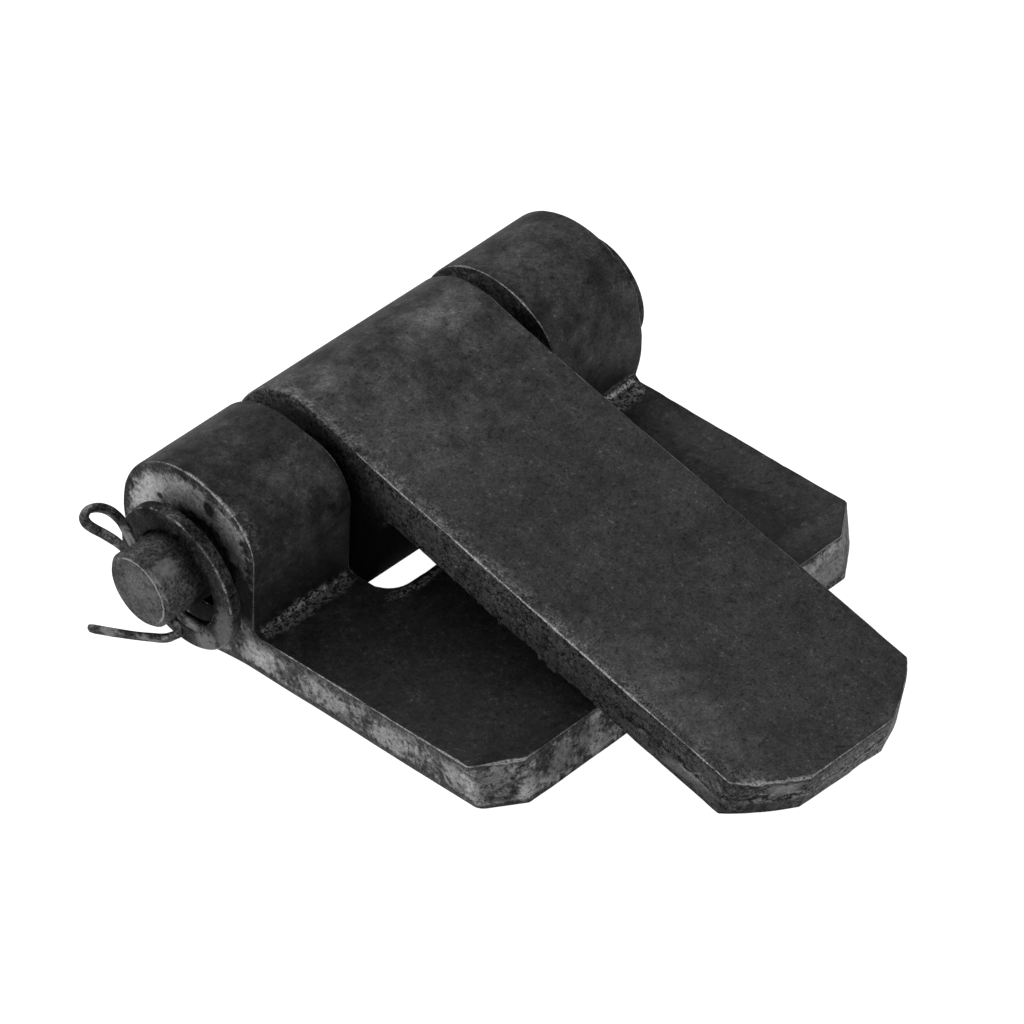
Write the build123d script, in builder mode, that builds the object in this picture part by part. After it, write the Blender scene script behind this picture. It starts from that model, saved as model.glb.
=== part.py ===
"""Weld-on barrel hinge: two rolled flat-bar leaves on a headed pin.

The fork leaf lies flat on its weld face.  Its two rolled eyes carry a loose
headed pin, kept by a washer and a split pin.  The strap leaf's long eye turns
between them, and the leaf rests on the fork leaf's free end when closed.

Frame: millimetres, +Z up, +X from the eyes to the leaves' free ends, +Y along
the pin towards its head.  The origin is the middle of the fork leaf's weld
face, so the weld face is the plane z = 0.
"""

import os
from math import asin, atan2, cos, degrees, hypot, radians, sin, tan

from build123d import *

# ---------------------------------------------------------------- bar stock
bar_t = 8.0                 # thickness of both flat bars
fork_w = 75.0               # width of the fork leaf's bar
strap_w = 34.4              # width of the strap leaf's bar

# ---------------------------------------------------------------- rolled eyes
fork_eye_r = 16.0           # outside radius of the fork leaf's two eyes
eye_step = 0.15             # the strap leaf's long eye is this much smaller
bore_d = 15.0               # bore left by the rolling mandrel
fork_close_angle = 55.0     # where the fork's roll leaves its circle, off the leaf
fork_tail_inset = 3.0       # how far its closed tail lies inside that circle
strap_close_angle = 25.0    # the same for the strap's roll
strap_tail_inset = 0.9
tail_lean = 4.0             # lean of the straight tail, from square to the leaf
crease_r = 2.2              # hollow where the tail closes on its own leaf

# ---------------------------------------------------------------- fork leaf
fork_reach = 58.3           # pin axis to free end
near_eye_len = 17.5         # eye at the split pin's end
far_eye_len = 16.9          # eye at the pin head's end
throat_reach = 18.5         # pin axis to the bottom of the fork's throat
throat_corner_r = 4.0       # round corners of the throat
fork_cut_x = 4.8            # cropped free corners, along the leaf
fork_cut_y = 6.2            # and across it
fork_corner_r = 1.0         # upright edges of the cropped corners
bar_edge_r = 1.6            # rolled long edges of the bar, along the weld face
fork_edge_r = 0.35          # worn edges of the leaf and of the eyes' ends

# ---------------------------------------------------------------- strap leaf
strap_reach = 89.6          # pin axis to free end
strap_offset = 0.4          # the long eye has floated this far to the head
strap_skew = 0.6            # and sits askew on the loose pin by this angle
strap_cut_u = 6.4           # cropped free corners, along the leaf
strap_cut_y = 9.4           # and across it
strap_cut_bulge = 0.5       # how far the cropping shear's cut bows out
end_undercut = 1.2          # the sheared end leans in towards the inner face
strap_edge_r = 0.4          # broken edges of the strap leaf
rest_gap = 0.2              # strap's inner face to the fork leaf's top edge

# ---------------------------------------------------------------- pin
pin_d = 12.0
head_d = 17.8
head_h = 5.4
head_edge_r = 0.8
pin_point = 10.5            # pin standing out past the near eye
point_chamfer = 0.5
pin_seat_gap = 0.3          # the loose pin lies this far off the bore's wall
pin_seat_angle = 139.0      # the side of the bore it lies on, from +X over +Z
head_gap = 0.1              # head to the far eye's face
cross_hole_d = 3.3
cross_hole_back = 2.8       # pin end to the middle of the cross hole
cross_hole_angle = 135.0    # direction of the split pin's eye, from +X over +Z

# ---------------------------------------------------------------- washer
washer_od = 23.0
washer_id = 15.4
washer_t = 2.0
washer_edge_r = 0.4
washer_stand_off = 2.3      # washer's back to the near eye's face
washer_hang_gap = 0.3       # the washer hangs this close to the pin's top
washer_hang_angle = -56.0   # the way it hangs, from +X

# ---------------------------------------------------------------- split pin
wire_w = 1.9                # width of the half-round wire
wire_t = 1.25               # thickness of the half-round wire
leg_gap = 0.1               # between the two legs' flat faces
eye_h = 7.5                 # top of the eye above the pin
eye_back = 0.55             # lean of the eye's inner strand towards the washer
eye_out = 3.2               # lean of its outer strand past the pin's end
eye_bend_r = 2.8            # round of the eye
eye_nose_r = 0.9            # tight turn at its outer end
short_leg = 3.4             # short leg's reach under the pin
short_leg_bend = 1.6        # its tip bent back towards the washer
long_leg_drop = 2.3         # where the long leg turns under the pin
long_leg_out = 7.1          # tip of the long leg, out past the hole,
long_leg_rise = 5.4         # back up beside the pin,
long_leg_round = 8.8        # and round it
wire_bend_r = 1.0           # tightest bend of the wire
wire_ease_r = 3.0           # its gentler bends

# ---------------------------------------------------------------- places
strap_eye_r = fork_eye_r - eye_step
axis_x = -(throat_reach + fork_reach) / 2
axis_z = fork_eye_r
half_fork = fork_w / 2
near_inner_y = -half_fork + near_eye_len
far_inner_y = half_fork - far_eye_len
bore_r = bore_d / 2
pin_r = pin_d / 2
near_face_y = -half_fork
far_face_y = half_fork
throat_x = axis_x + throat_reach
fork_end_x = axis_x + fork_reach
pin_play = bore_r - pin_r - pin_seat_gap
pin_x = axis_x + pin_play * cos(radians(pin_seat_angle))
pin_z = axis_z + pin_play * sin(radians(pin_seat_angle))
pin_end_y = near_face_y - pin_point
head_face_y = far_face_y + head_gap
cross_hole_y = pin_end_y + cross_hole_back
washer_play = washer_id / 2 - pin_r - washer_hang_gap
washer_x = pin_x + washer_play * cos(radians(washer_hang_angle))
washer_z = pin_z + washer_play * sin(radians(washer_hang_angle))
washer_back_y = near_face_y - washer_stand_off

strap_far_y = strap_offset + strap_w / 2

# The closed strap leaf comes down until its inner face is rest_gap above the
# top edge of the fork leaf's free end, which lies out at fork_reach and
# fork_eye_r - bar_t below the pin axis.
inner_face_v = strap_eye_r - bar_t
rest_edge = hypot(fork_reach, fork_eye_r - bar_t)
rest_edge_angle = degrees(atan2(fork_eye_r - bar_t, fork_reach))
shut_angle = rest_edge_angle + degrees(asin((inner_face_v - rest_gap) / rest_edge))
along_strap = Vector(cos(radians(shut_angle)), 0, -sin(radians(shut_angle)))
off_strap = Vector(sin(radians(shut_angle)), 0, cos(radians(shut_angle)))
pin_axis = Vector(axis_x, 0, axis_z)
hole_up = Vector(cos(radians(cross_hole_angle)), 0, sin(radians(cross_hole_angle)))
hole_side = Vector(0, -1, 0).cross(hole_up)
near = 0.01                 # tolerance for picking edges by place


def across(x, y, z, x_dir=(1, 0, 0)):
    """Plane square to the pin at (x, y, z), looking from the split pin's end."""
    return Plane(origin=(x, y, z), x_dir=x_dir, z_dir=(0, -1, 0))


def leaf_section(plane, eye_r, reach, side, close_angle, tail_inset):
    """Section of a rolled leaf, with the pin axis at the plane's origin.

    side is +1 for a leaf whose flat outer face is above the axis and -1 for
    one below.  The bar runs in along its outer face and round the eye.  At
    close_angle its tail leaves the circle, ends tail_inset inside it, and
    comes back to the leaf's own inner face.
    """
    close = radians(close_angle)
    lean = radians(tail_lean)
    tail_r = (eye_r - tail_inset - eye_r * cos(close)) / (1 - cos(close))
    mid_u = (eye_r - tail_r) * cos(close)
    mid_v = (eye_r - tail_r) * sin(close)
    inner_v = bar_t - eye_r
    tail_u = mid_u + tail_r * cos(lean)
    tail_v = mid_v - tail_r * sin(lean)
    crease_u = tail_u - (tail_v - inner_v) * tan(lean)
    outer_start = (0, side * eye_r)
    eye_back = (-eye_r, 0)
    roll_off = (eye_r * cos(close), -side * eye_r * sin(close))
    knee = (mid_u + tail_r * cos(close / 2), -side * (mid_v + tail_r * sin(close / 2)))
    tail_start = (tail_u, -side * tail_v)
    crease = (crease_u, -side * inner_v)
    with BuildSketch(plane) as section:
        with BuildLine():
            Line((reach, side * eye_r), outer_start)
            ThreePointArc(outer_start, eye_back, roll_off)
            ThreePointArc(roll_off, knee, tail_start)
            Line(tail_start, crease)
            Line(crease, (reach, -side * inner_v))
            Line((reach, -side * inner_v), (reach, side * eye_r))
        make_face()
    return section.sketch


# ---------------------------------------------------------------- fork leaf
back_x = axis_x - fork_eye_r - 1
with BuildSketch(Plane.XY) as fork_plan:
    with BuildLine():
        Polyline(
            (back_x, near_face_y),
            (fork_end_x - fork_cut_x, near_face_y),
            (fork_end_x, near_face_y + fork_cut_y),
            (fork_end_x, far_face_y - fork_cut_y),
            (fork_end_x - fork_cut_x, far_face_y),
            (back_x, far_face_y),
            close=True,
        )
    make_face()
    fillet(fork_plan.vertices().filter_by(lambda corner: corner.X > back_x + near), fork_corner_r)

# The space bounded by the bar's rolled long edges and its sheared free end.
with BuildPart() as fork_bound:
    extrude(fork_plan.sketch, amount=2 * fork_eye_r)
    fillet(fork_bound.faces().sort_by(Axis.Z)[0].edges(), fork_edge_r)
    with BuildSketch(Plane.YZ.offset(back_x)) as bar_outline:
        with Locations((0, fork_eye_r)):
            Rectangle(fork_w, 2 * fork_eye_r)
        fillet(bar_outline.vertices().group_by(Axis.Z)[0], bar_edge_r)
    extrude(amount=fork_end_x - back_x, mode=Mode.INTERSECT)

with BuildPart() as fork_leaf:
    extrude(
        leaf_section(
            across(axis_x, far_face_y, axis_z),
            fork_eye_r,
            fork_reach,
            -1,
            fork_close_angle,
            fork_tail_inset,
        ),
        amount=fork_w,
    )
    extrude(fork_plan.sketch, amount=2 * fork_eye_r, mode=Mode.INTERSECT)
    # Throat between the two eyes.
    with BuildSketch(Plane.XY) as throat:
        with BuildLine():
            Polyline(
                (back_x, near_inner_y),
                (throat_x, near_inner_y),
                (throat_x, far_inner_y),
                (back_x, far_inner_y),
                close=True,
            )
        make_face()
        fillet(throat.vertices().group_by(Axis.X)[-1], throat_corner_r)
    extrude(amount=2 * fork_eye_r, mode=Mode.SUBTRACT)
    with BuildSketch(across(axis_x, far_face_y, axis_z)):
        Circle(bore_r)
    extrude(amount=fork_w, mode=Mode.SUBTRACT)
    # The hollows where the tails close on the leaf, then the worn edges.
    creases = fork_leaf.edges().filter_by(Axis.Y).filter_by(
        lambda edge: abs(edge.center().Z - bar_t) < near
        and axis_x < edge.center().X < throat_x - near
    )
    fillet(creases, crease_r)
    top_face = fork_leaf.faces().filter_by(Plane.XY).filter_by(
        lambda face: abs(face.center().Z - bar_t) < near
    )
    hollow_x = top_face.edges().sort_by(Axis.X)[0].center().X
    rim = top_face.edges().filter_by(lambda edge: edge.center().X > hollow_x + near)
    fillet(rim, fork_edge_r)
    add(fork_bound.part, mode=Mode.INTERSECT)
fork_leaf.part.label = "fork_leaf"

# ---------------------------------------------------------------- strap leaf
strap_plane = across(axis_x, strap_far_y, axis_z, along_strap)
with BuildPart() as strap_leaf:
    extrude(
        leaf_section(
            strap_plane, strap_eye_r, strap_reach, 1, strap_close_angle, strap_tail_inset
        ),
        amount=strap_w,
    )
    # Free end sheared with bowed corners, leaning in under the outer face.
    half_strap = strap_w / 2
    cut_u = strap_reach - strap_cut_u
    cut_y = half_strap - strap_cut_y
    cut_angle = atan2(strap_cut_y, strap_cut_u)
    bow_u = strap_reach - strap_cut_u / 2 + strap_cut_bulge * sin(cut_angle)
    bow_y = half_strap - strap_cut_y / 2 + strap_cut_bulge * cos(cut_angle)
    back_u = -strap_eye_r - bar_t
    outer_face = Plane(
        origin=pin_axis + off_strap * strap_eye_r + Vector(0, strap_offset, 0),
        x_dir=along_strap,
        z_dir=off_strap,
    )
    with BuildSketch(outer_face) as strap_plan:
        with BuildLine():
            Line((back_u, -half_strap), (cut_u, -half_strap))
            ThreePointArc((cut_u, -half_strap), (bow_u, -bow_y), (strap_reach, -cut_y))
            Line((strap_reach, -cut_y), (strap_reach, cut_y))
            ThreePointArc((strap_reach, cut_y), (bow_u, bow_y), (cut_u, half_strap))
            Line((cut_u, half_strap), (back_u, half_strap))
            Line((back_u, half_strap), (back_u, -half_strap))
        make_face()
    shear_dir = off_strap * -bar_t - along_strap * end_undercut
    extrude(
        strap_plan.sketch,
        amount=2 * strap_eye_r * shear_dir.length / bar_t,
        dir=shear_dir.normalized(),
        mode=Mode.INTERSECT,
    )
    with BuildSketch(across(axis_x, strap_far_y, axis_z)):
        Circle(bore_r)
    extrude(amount=strap_w, mode=Mode.SUBTRACT)
    crease = strap_leaf.edges().filter_by(Axis.Y).sort_by_distance(
        pin_axis + off_strap * inner_face_v + along_strap * (strap_eye_r - strap_tail_inset)
    )[0]
    fillet(crease, crease_r)
    flat = strap_leaf.faces().filter_by(GeomType.PLANE).sort_by(
        Axis(pin_axis, off_strap)
    )[-1]
    fillet(flat.edges().sort_by_distance(pin_axis)[1:], strap_edge_r)
skewed_strap = strap_leaf.part.rotate(Axis((axis_x, 0, 0), (0, 0, 1)), -strap_skew)
skewed_strap.label = "strap_leaf"

# ---------------------------------------------------------------- hinge pin
with BuildPart() as hinge_pin:
    with BuildSketch(across(pin_x, head_face_y, pin_z)):
        Circle(pin_r)
    extrude(amount=head_face_y - pin_end_y)
    chamfer(hinge_pin.faces().sort_by(Axis.Y)[0].edges(), point_chamfer)
    with BuildSketch(across(pin_x, head_face_y + head_h, pin_z)):
        Circle(head_d / 2)
    extrude(amount=head_h)
    fillet(hinge_pin.faces().sort_by(Axis.Y)[-1].edges(), head_edge_r)
    with BuildSketch(Plane(origin=(pin_x, cross_hole_y, pin_z), z_dir=hole_up)):
        Circle(cross_hole_d / 2)
    extrude(amount=pin_d, both=True, mode=Mode.SUBTRACT)
hinge_pin.part.label = "hinge_pin"

# ---------------------------------------------------------------- washer
with BuildPart() as washer:
    with BuildSketch(across(washer_x, washer_back_y, washer_z)):
        Circle(washer_od / 2)
        Circle(washer_id / 2, mode=Mode.SUBTRACT)
    extrude(amount=washer_t)
    fillet(washer.edges().group_by(SortBy.LENGTH)[-1], washer_edge_r)
washer.part.label = "washer"

# ---------------------------------------------------------------- split pin
# The wire's middle line in a frame at the middle of the cross hole: x runs out
# past the pin's end and y up the hole towards the eye.  It goes from the short
# leg's cut end up through the pin, round the eye, down through the pin again
# and off along the long leg.
leg_x = (leg_gap + wire_t) / 2
wire_frame = Plane(origin=(pin_x, cross_hole_y, pin_z), x_dir=(0, -1, 0), z_dir=hole_side)
wire_route = (
    (-leg_x - short_leg_bend, -pin_r - short_leg, 0),
    (-leg_x, -pin_r - short_leg / 3, 0),
    (-leg_x, pin_r + wire_t / 3, 0),
    (-leg_x - eye_back, pin_r + eye_h * 2 / 3, 0),
    (eye_out / 2, pin_r + eye_h, 0),
    (leg_x + eye_out, pin_r + eye_h - wire_t / 2, 0),
    (leg_x, pin_r + wire_t / 6, 0),
    (leg_x, -pin_r - long_leg_drop, 0),
    (leg_x + wire_t, -pin_r - long_leg_drop + wire_t / 4, wire_t * 1.5),
    (leg_x + long_leg_out, -pin_r + long_leg_rise, long_leg_round),
)
wire_radii = (
    wire_ease_r,
    wire_ease_r,
    eye_bend_r,
    eye_bend_r / 2,
    eye_nose_r,
    wire_ease_r,
    wire_bend_r,
    wire_ease_r,
)
with BuildPart() as split_pin:
    with BuildLine(wire_frame) as wire:
        FilletPolyline(*wire_route, radius=wire_radii)
    with BuildSketch(Plane(origin=wire.line @ 0, x_dir=hole_side, z_dir=wire.line % 0)):
        with BuildLine():
            ThreePointArc(
                (-wire_w / 2, wire_t / 2),
                (0, -wire_t / 2),
                (wire_w / 2, wire_t / 2),
            )
            Line((wire_w / 2, wire_t / 2), (-wire_w / 2, wire_t / 2))
        make_face()
    sweep(path=wire.line)
split_pin.part.label = "split_pin"

# ---------------------------------------------------------------- files
os.makedirs("parts", exist_ok=True)
export_step(fork_leaf.part, "parts/fork_leaf.step")
export_step(skewed_strap, "parts/strap_leaf.step")
export_step(hinge_pin.part, "parts/hinge_pin.step")
export_step(washer.part, "parts/washer.step")
export_step(split_pin.part, "parts/split_pin.step")
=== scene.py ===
"""Looks of the weld-on barrel hinge: two rolled flat-bar leaves on a loose headed pin.

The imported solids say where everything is.  The leaves, the washer and the split
pin are built again here as dense closed meshes, with the uneven edges, chips
and hammered faces that plain solids don't have, and every piece gets a steel
finish of its own.  Lengths inside this file are in millimetres until a mesh is
written, and the frame is the record's: +X from the eyes to the free ends, +Y
along the pin to its head, +Z up from the fork leaf's weld face.
"""

from __future__ import annotations

import logging
import math
from dataclasses import dataclass, field
from enum import Enum

import bmesh
import bpy
import numpy as np
from mathutils import Matrix, Vector

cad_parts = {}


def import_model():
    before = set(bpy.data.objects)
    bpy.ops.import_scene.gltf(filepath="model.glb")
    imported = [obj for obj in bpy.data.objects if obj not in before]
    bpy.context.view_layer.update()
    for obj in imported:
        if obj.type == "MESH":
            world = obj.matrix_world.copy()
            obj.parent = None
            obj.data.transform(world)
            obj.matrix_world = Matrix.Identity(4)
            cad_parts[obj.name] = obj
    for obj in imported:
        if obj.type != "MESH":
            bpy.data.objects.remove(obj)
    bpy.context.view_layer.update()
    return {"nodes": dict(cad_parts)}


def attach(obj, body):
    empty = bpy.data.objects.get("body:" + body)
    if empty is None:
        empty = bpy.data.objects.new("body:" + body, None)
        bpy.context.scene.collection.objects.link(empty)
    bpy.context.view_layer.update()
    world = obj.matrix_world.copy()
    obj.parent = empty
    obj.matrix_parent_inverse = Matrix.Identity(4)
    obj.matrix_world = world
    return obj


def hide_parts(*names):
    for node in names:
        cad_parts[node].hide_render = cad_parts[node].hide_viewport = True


log = logging.getLogger("barrel_hinge")

MM = 0.001  # one millimetre in metres
EYE_AXIS = (-38.4, 16.0)  # where the eyes' common axis stands, along x and z
EDGE_STEPS = np.array([0.0, 0.07, 0.15, 0.25, 0.38, 0.55, 0.8, 1.15, 1.6])  # distances from an edge that get a row
FAR_FROM_EDGE = 5.0  # past this a finish no longer asks how far the edge is
OUTLINE_STEP = 0.25  # longest piece of an outline
POINTS_AT_ONCE = 4000  # points compared with an outline in one go
SAME_PLACE = 4  # decimals to which corners of two sheets agree
OFF_TIES = 1.37e-5  # added before that rounding, so that no place lies half way

Array = np.ndarray
Place = tuple[float, float, float]


class Surface(Enum):
    """The kinds of surface that a rolled leaf has."""

    ROLLED = 0.0
    SHEARED = 1.0
    BORE = 2.0


# ------------------------------------------------------------------ numbers


def grain(points: Array, size: float, seed: int) -> Array:
    """Smooth lattice noise from -1 to 1.

    Space is cut into cubes of the given size.  Each cube corner has a hashed
    number, and a point takes the eight about it, weighed along each axis by
    3t^2 - 2t^3 of its place in the cube.

    Args:
        points: places, one to a row.
        size: side of the cubes.
        seed: which noise of that size.

    Returns:
        One number to a point.
    """
    cell = np.floor(points / size)
    part = points / size - cell
    part = part * part * (3.0 - 2.0 * part)
    total = np.zeros(len(points))
    for corner in range(8):
        step = np.array([corner & 1, corner >> 1 & 1, corner >> 2])
        key = (cell.astype(np.int64) + step) @ np.array([73856093, 19349663, 83492791])
        key = (key + seed * 374761393) & 0x7FFFFFFF
        key = ((key ^ (key >> 13)) * 1274126177) & 0x7FFFFFFF
        value = ((key ^ (key >> 16)) & 0xFFFF) / 32767.5 - 1.0
        total += value * np.prod(np.where(step == 1, part, 1.0 - part), axis=1)
    return total


def smoothstep(low: float, high: float, value: Array) -> Array:
    """Returns 0 at low, 1 at high and 3t^2 - 2t^3 between them, also where low is the larger."""
    part = np.clip((value - low) / (high - low), 0.0, 1.0)
    return part * part * (3.0 - 2.0 * part)


def spread(start: float, stop: float, step: float, ends: tuple[bool, bool]) -> Array:
    """Places along a line, close together near the ends that are edges.

    Args:
        start: first place.
        stop: last place.
        step: widest spacing.
        ends: whether the start and the stop are edges.

    Returns:
        The places in order from start to stop.
    """
    length = abs(stop - start)
    reach = EDGE_STEPS[EDGE_STEPS < length * 0.4]
    low = reach if ends[0] else np.array([0.0])
    high = length - (reach[::-1] if ends[1] else np.array([0.0]))
    count = max(int(math.ceil((high[0] - low[-1]) / step)), 1)
    middle = np.linspace(low[-1], high[0], count + 1)[1:-1]
    return start + math.copysign(1.0, stop - start) * np.concatenate([low, middle, high])


def unit(vectors: Array) -> Array:
    """Returns the rows scaled to length 1."""
    return vectors / np.maximum(np.linalg.norm(vectors, axis=-1, keepdims=True), 1e-12)


def rays(start: float, stop: float, count: int) -> Array:
    """Returns unit directions from one angle to another, in degrees, without the first."""
    angle = np.radians(np.linspace(start, stop, count)[1:])
    return np.stack([np.cos(angle), np.sin(angle)], axis=1)


def in_section(way: Array) -> Array:
    """Returns directions (u, v) of a leaf's section as its directions (u, 0, v)."""
    return np.stack([way[:, 0], np.zeros(len(way)), way[:, 1]], axis=1)


def in_plan(way: Array) -> Array:
    """Returns directions (u, y) of a leaf's plan as its directions (u, y, 0)."""
    return np.stack([way[:, 0], way[:, 1], np.zeros(len(way))], axis=1)


def resample(line: Array, step: float) -> Array:
    """Cuts a line into pieces no longer than a step, and keeps its corners.

    Args:
        line: corners in a plane, one to a row.
        step: longest piece.

    Returns:
        The denser line.
    """
    along = np.concatenate([[0.0], np.cumsum(np.linalg.norm(np.diff(line, axis=0), axis=1))])
    fine = np.unique(np.concatenate([along, np.arange(0.0, along[-1], step)]))
    return np.stack([np.interp(fine, along, line[:, axis]) for axis in (0, 1)], axis=1)


class Outline:
    """A boundary in a plane as short pieces, each with its outward direction."""

    def __init__(self, runs: list[Array]) -> None:
        """Cuts each run into short pieces.

        A piece's outward direction is its own turned a quarter to the right.

        Args:
            runs: polylines, one corner to a row, walked with the metal on the left.
        """
        middles, normals = [], []
        for run in runs:
            dense = resample(run, OUTLINE_STEP)
            way = unit(np.diff(dense, axis=0))
            middles.append((dense[1:] + dense[:-1]) / 2.0)
            normals.append(np.stack([way[:, 1], -way[:, 0]], axis=1))
        self.middles = np.concatenate(middles)
        self.normals = np.concatenate(normals)

    def depth(self, points: Array) -> tuple[Array, Array]:
        """How deep points lie inside, measured square to the nearest piece.

        Args:
            points: places in the plane.

        Returns:
            The depths, and the outward direction for each.
        """
        nearest = np.zeros(len(points), dtype=np.int64)
        for first in range(0, len(points), POINTS_AT_ONCE):
            some = slice(first, first + POINTS_AT_ONCE)
            apart = ((points[some, None, :] - self.middles[None]) ** 2).sum(axis=2)
            nearest[some] = apart.argmin(axis=1)
        normal = self.normals[nearest]
        inside = ((self.middles[nearest] - points) * normal).sum(axis=1)
        return np.maximum(inside, 0.0), normal


# ------------------------------------------------------------------ meshes


@dataclass
class Sheet:
    """One grid of points of a leaf, with the direction that it faces."""

    places: Array
    facing: Array
    kind: Surface


def means(groups: Array, values: Array) -> Array:
    """Returns the mean of the rows that belong to each group."""
    return np.stack([np.bincount(groups, column) for column in values.T], axis=1) / np.bincount(groups)[:, None]


def grid_faces(rows: int, columns: int, closed: tuple[bool, bool] = (False, False)) -> Array:
    """Quads of a grid of points.

    Args:
        rows: number of rows.
        columns: number of columns.
        closed: whether the last row joins the first, and the last column the first.

    Returns:
        Four corner numbers to a row.
    """
    index = np.arange(rows * columns).reshape(rows, columns)
    if closed[0]:
        index = np.concatenate([index, index[:1]])
    if closed[1]:
        index = np.concatenate([index, index[:, :1]], axis=1)
    corners = [index[:-1, :-1], index[1:, :-1], index[1:, 1:], index[:-1, 1:]]
    return np.stack(corners, axis=-1).reshape(-1, 4)


def outward(places: Array, quads: Array) -> Array:
    """Turns all quads of a closed mesh outwards.

    Its signed volume, a sixth of the sum of a.(b x c) over its triangles, has
    to come out positive.

    Args:
        places: corner places.
        quads: four corner numbers to a row.

    Returns:
        The quads, turned over if need be.
    """
    first, second, third, fourth = (places[quads[:, corner]] for corner in range(4))
    volume = (first * np.cross(second, third)).sum() + (first * np.cross(third, fourth)).sum()
    return quads if volume > 0.0 else quads[:, ::-1]


def close_poles(mesh: bpy.types.Mesh) -> None:
    """Merges the corners that lie at one place, as a tube's last ring does."""
    shell = bmesh.new()
    shell.from_mesh(mesh)
    bmesh.ops.remove_doubles(shell, verts=shell.verts, dist=1e-4 * MM)
    shell.to_mesh(mesh)
    shell.free()


def write_mesh(name: str, places: Array, faces: Array, numbers: dict[str, Array]) -> bpy.types.Object:
    """Makes a smooth-shaded object at the origin with its place in its mesh.

    Args:
        name: the piece's name.
        places: corner places in millimetres.
        faces: four corner numbers to a row.
        numbers: named values, one to a corner, for the finish to read.

    Returns:
        The object, linked to the scene.
    """
    mesh = bpy.data.meshes.new(name)
    mesh.from_pydata((places * MM).tolist(), [], faces.tolist())
    mesh.polygons.foreach_set("use_smooth", np.ones(len(faces), dtype=bool))
    for label, values in numbers.items():
        attribute = mesh.attributes.new(label, "FLOAT", "POINT")
        attribute.data.foreach_set("value", values.astype(np.float32))
    mesh.validate()
    mesh.update()
    piece = bpy.data.objects.new(name, mesh)
    bpy.context.scene.collection.objects.link(piece)
    return piece


# ------------------------------------------------------------------ leaves


@dataclass
class RolledSection:
    """Section of a rolled leaf in its own plane, with the pin axis at (0, 0).

    The first number runs along the leaf and the second out through its outer
    face.  The bar comes in along its outer face, goes round the eye, leaves
    the circle, and its tail closes on its own inner face with a small hollow.
    """

    eye_r: float
    close_angle: float
    tail_inset: float
    bar: float = 8.0
    lean: float = 4.0
    hollow_r: float = 2.2
    bore_r: float = 7.5

    def __post_init__(self) -> None:
        """Works out the circles that the section is made of.

        The tail's circle touches the eye's from inside where the closing
        angle says, and the hollow's circle touches both the tail and the
        flat inner face.
        """
        close, lean = math.radians(self.close_angle), math.radians(self.lean)
        self.tail_r = (self.eye_r - self.tail_inset - self.eye_r * math.cos(close)) / (1.0 - math.cos(close))
        off = self.eye_r - self.tail_r
        self.turn = np.array([off * math.cos(close), -off * math.sin(close)])
        self.tail_way = np.array([-math.sin(lean), math.cos(lean)])
        self.tail_side = np.array([math.cos(lean), math.sin(lean)])
        self.tail_start = self.turn + self.tail_r * self.tail_side
        self.inner = self.eye_r - self.bar
        hollow_v = self.inner - self.hollow_r
        reach = self.hollow_r + self.tail_start @ self.tail_side - hollow_v * self.tail_side[1]
        hollow_u = reach / self.tail_side[0]
        self.hollow = np.array([hollow_u, hollow_v])

    @property
    def neck(self) -> float:
        """Where the hollow ends and the leaf's flat inner face begins."""
        return float(self.hollow[0])

    def roll(self) -> tuple[Array, Array]:
        """The section from above the neck, round the eye, back to the neck.

        Straight along the outer face, an arc about the axis, a smaller arc,
        a straight tail, and a hollow arc that faces its own middle.

        Returns:
            Points and outward directions, one to a row.
        """
        flat = np.linspace(self.neck, 0.0, int(self.neck) + 2)
        points = [np.stack([flat, np.full_like(flat, self.eye_r)], axis=1)]
        facing = [np.tile([0.0, 1.0], (len(flat), 1))]
        end = 360.0 - self.close_angle
        ray = rays(90.0, end, int((end - 90.0) / 3.2))
        points.append(ray * self.eye_r)
        facing.append(ray)
        ray = rays(-self.close_angle, self.lean, int(self.close_angle / 4.0) + 3)
        points.append(self.turn + ray * self.tail_r)
        facing.append(ray)
        top = self.hollow - self.hollow_r * self.tail_side
        length = float((top - self.tail_start) @ self.tail_way)
        along = np.linspace(0.0, length, max(int(length), 2) + 1)[1:]
        points.append(self.tail_start + along[:, None] * self.tail_way)
        facing.append(np.tile(self.tail_side, (len(along), 1)))
        ray = rays(180.0 + self.lean, 90.0, 8)
        points.append(self.hollow + ray * self.hollow_r)
        facing.append(-ray)
        return np.concatenate(points), np.concatenate(facing)


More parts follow.
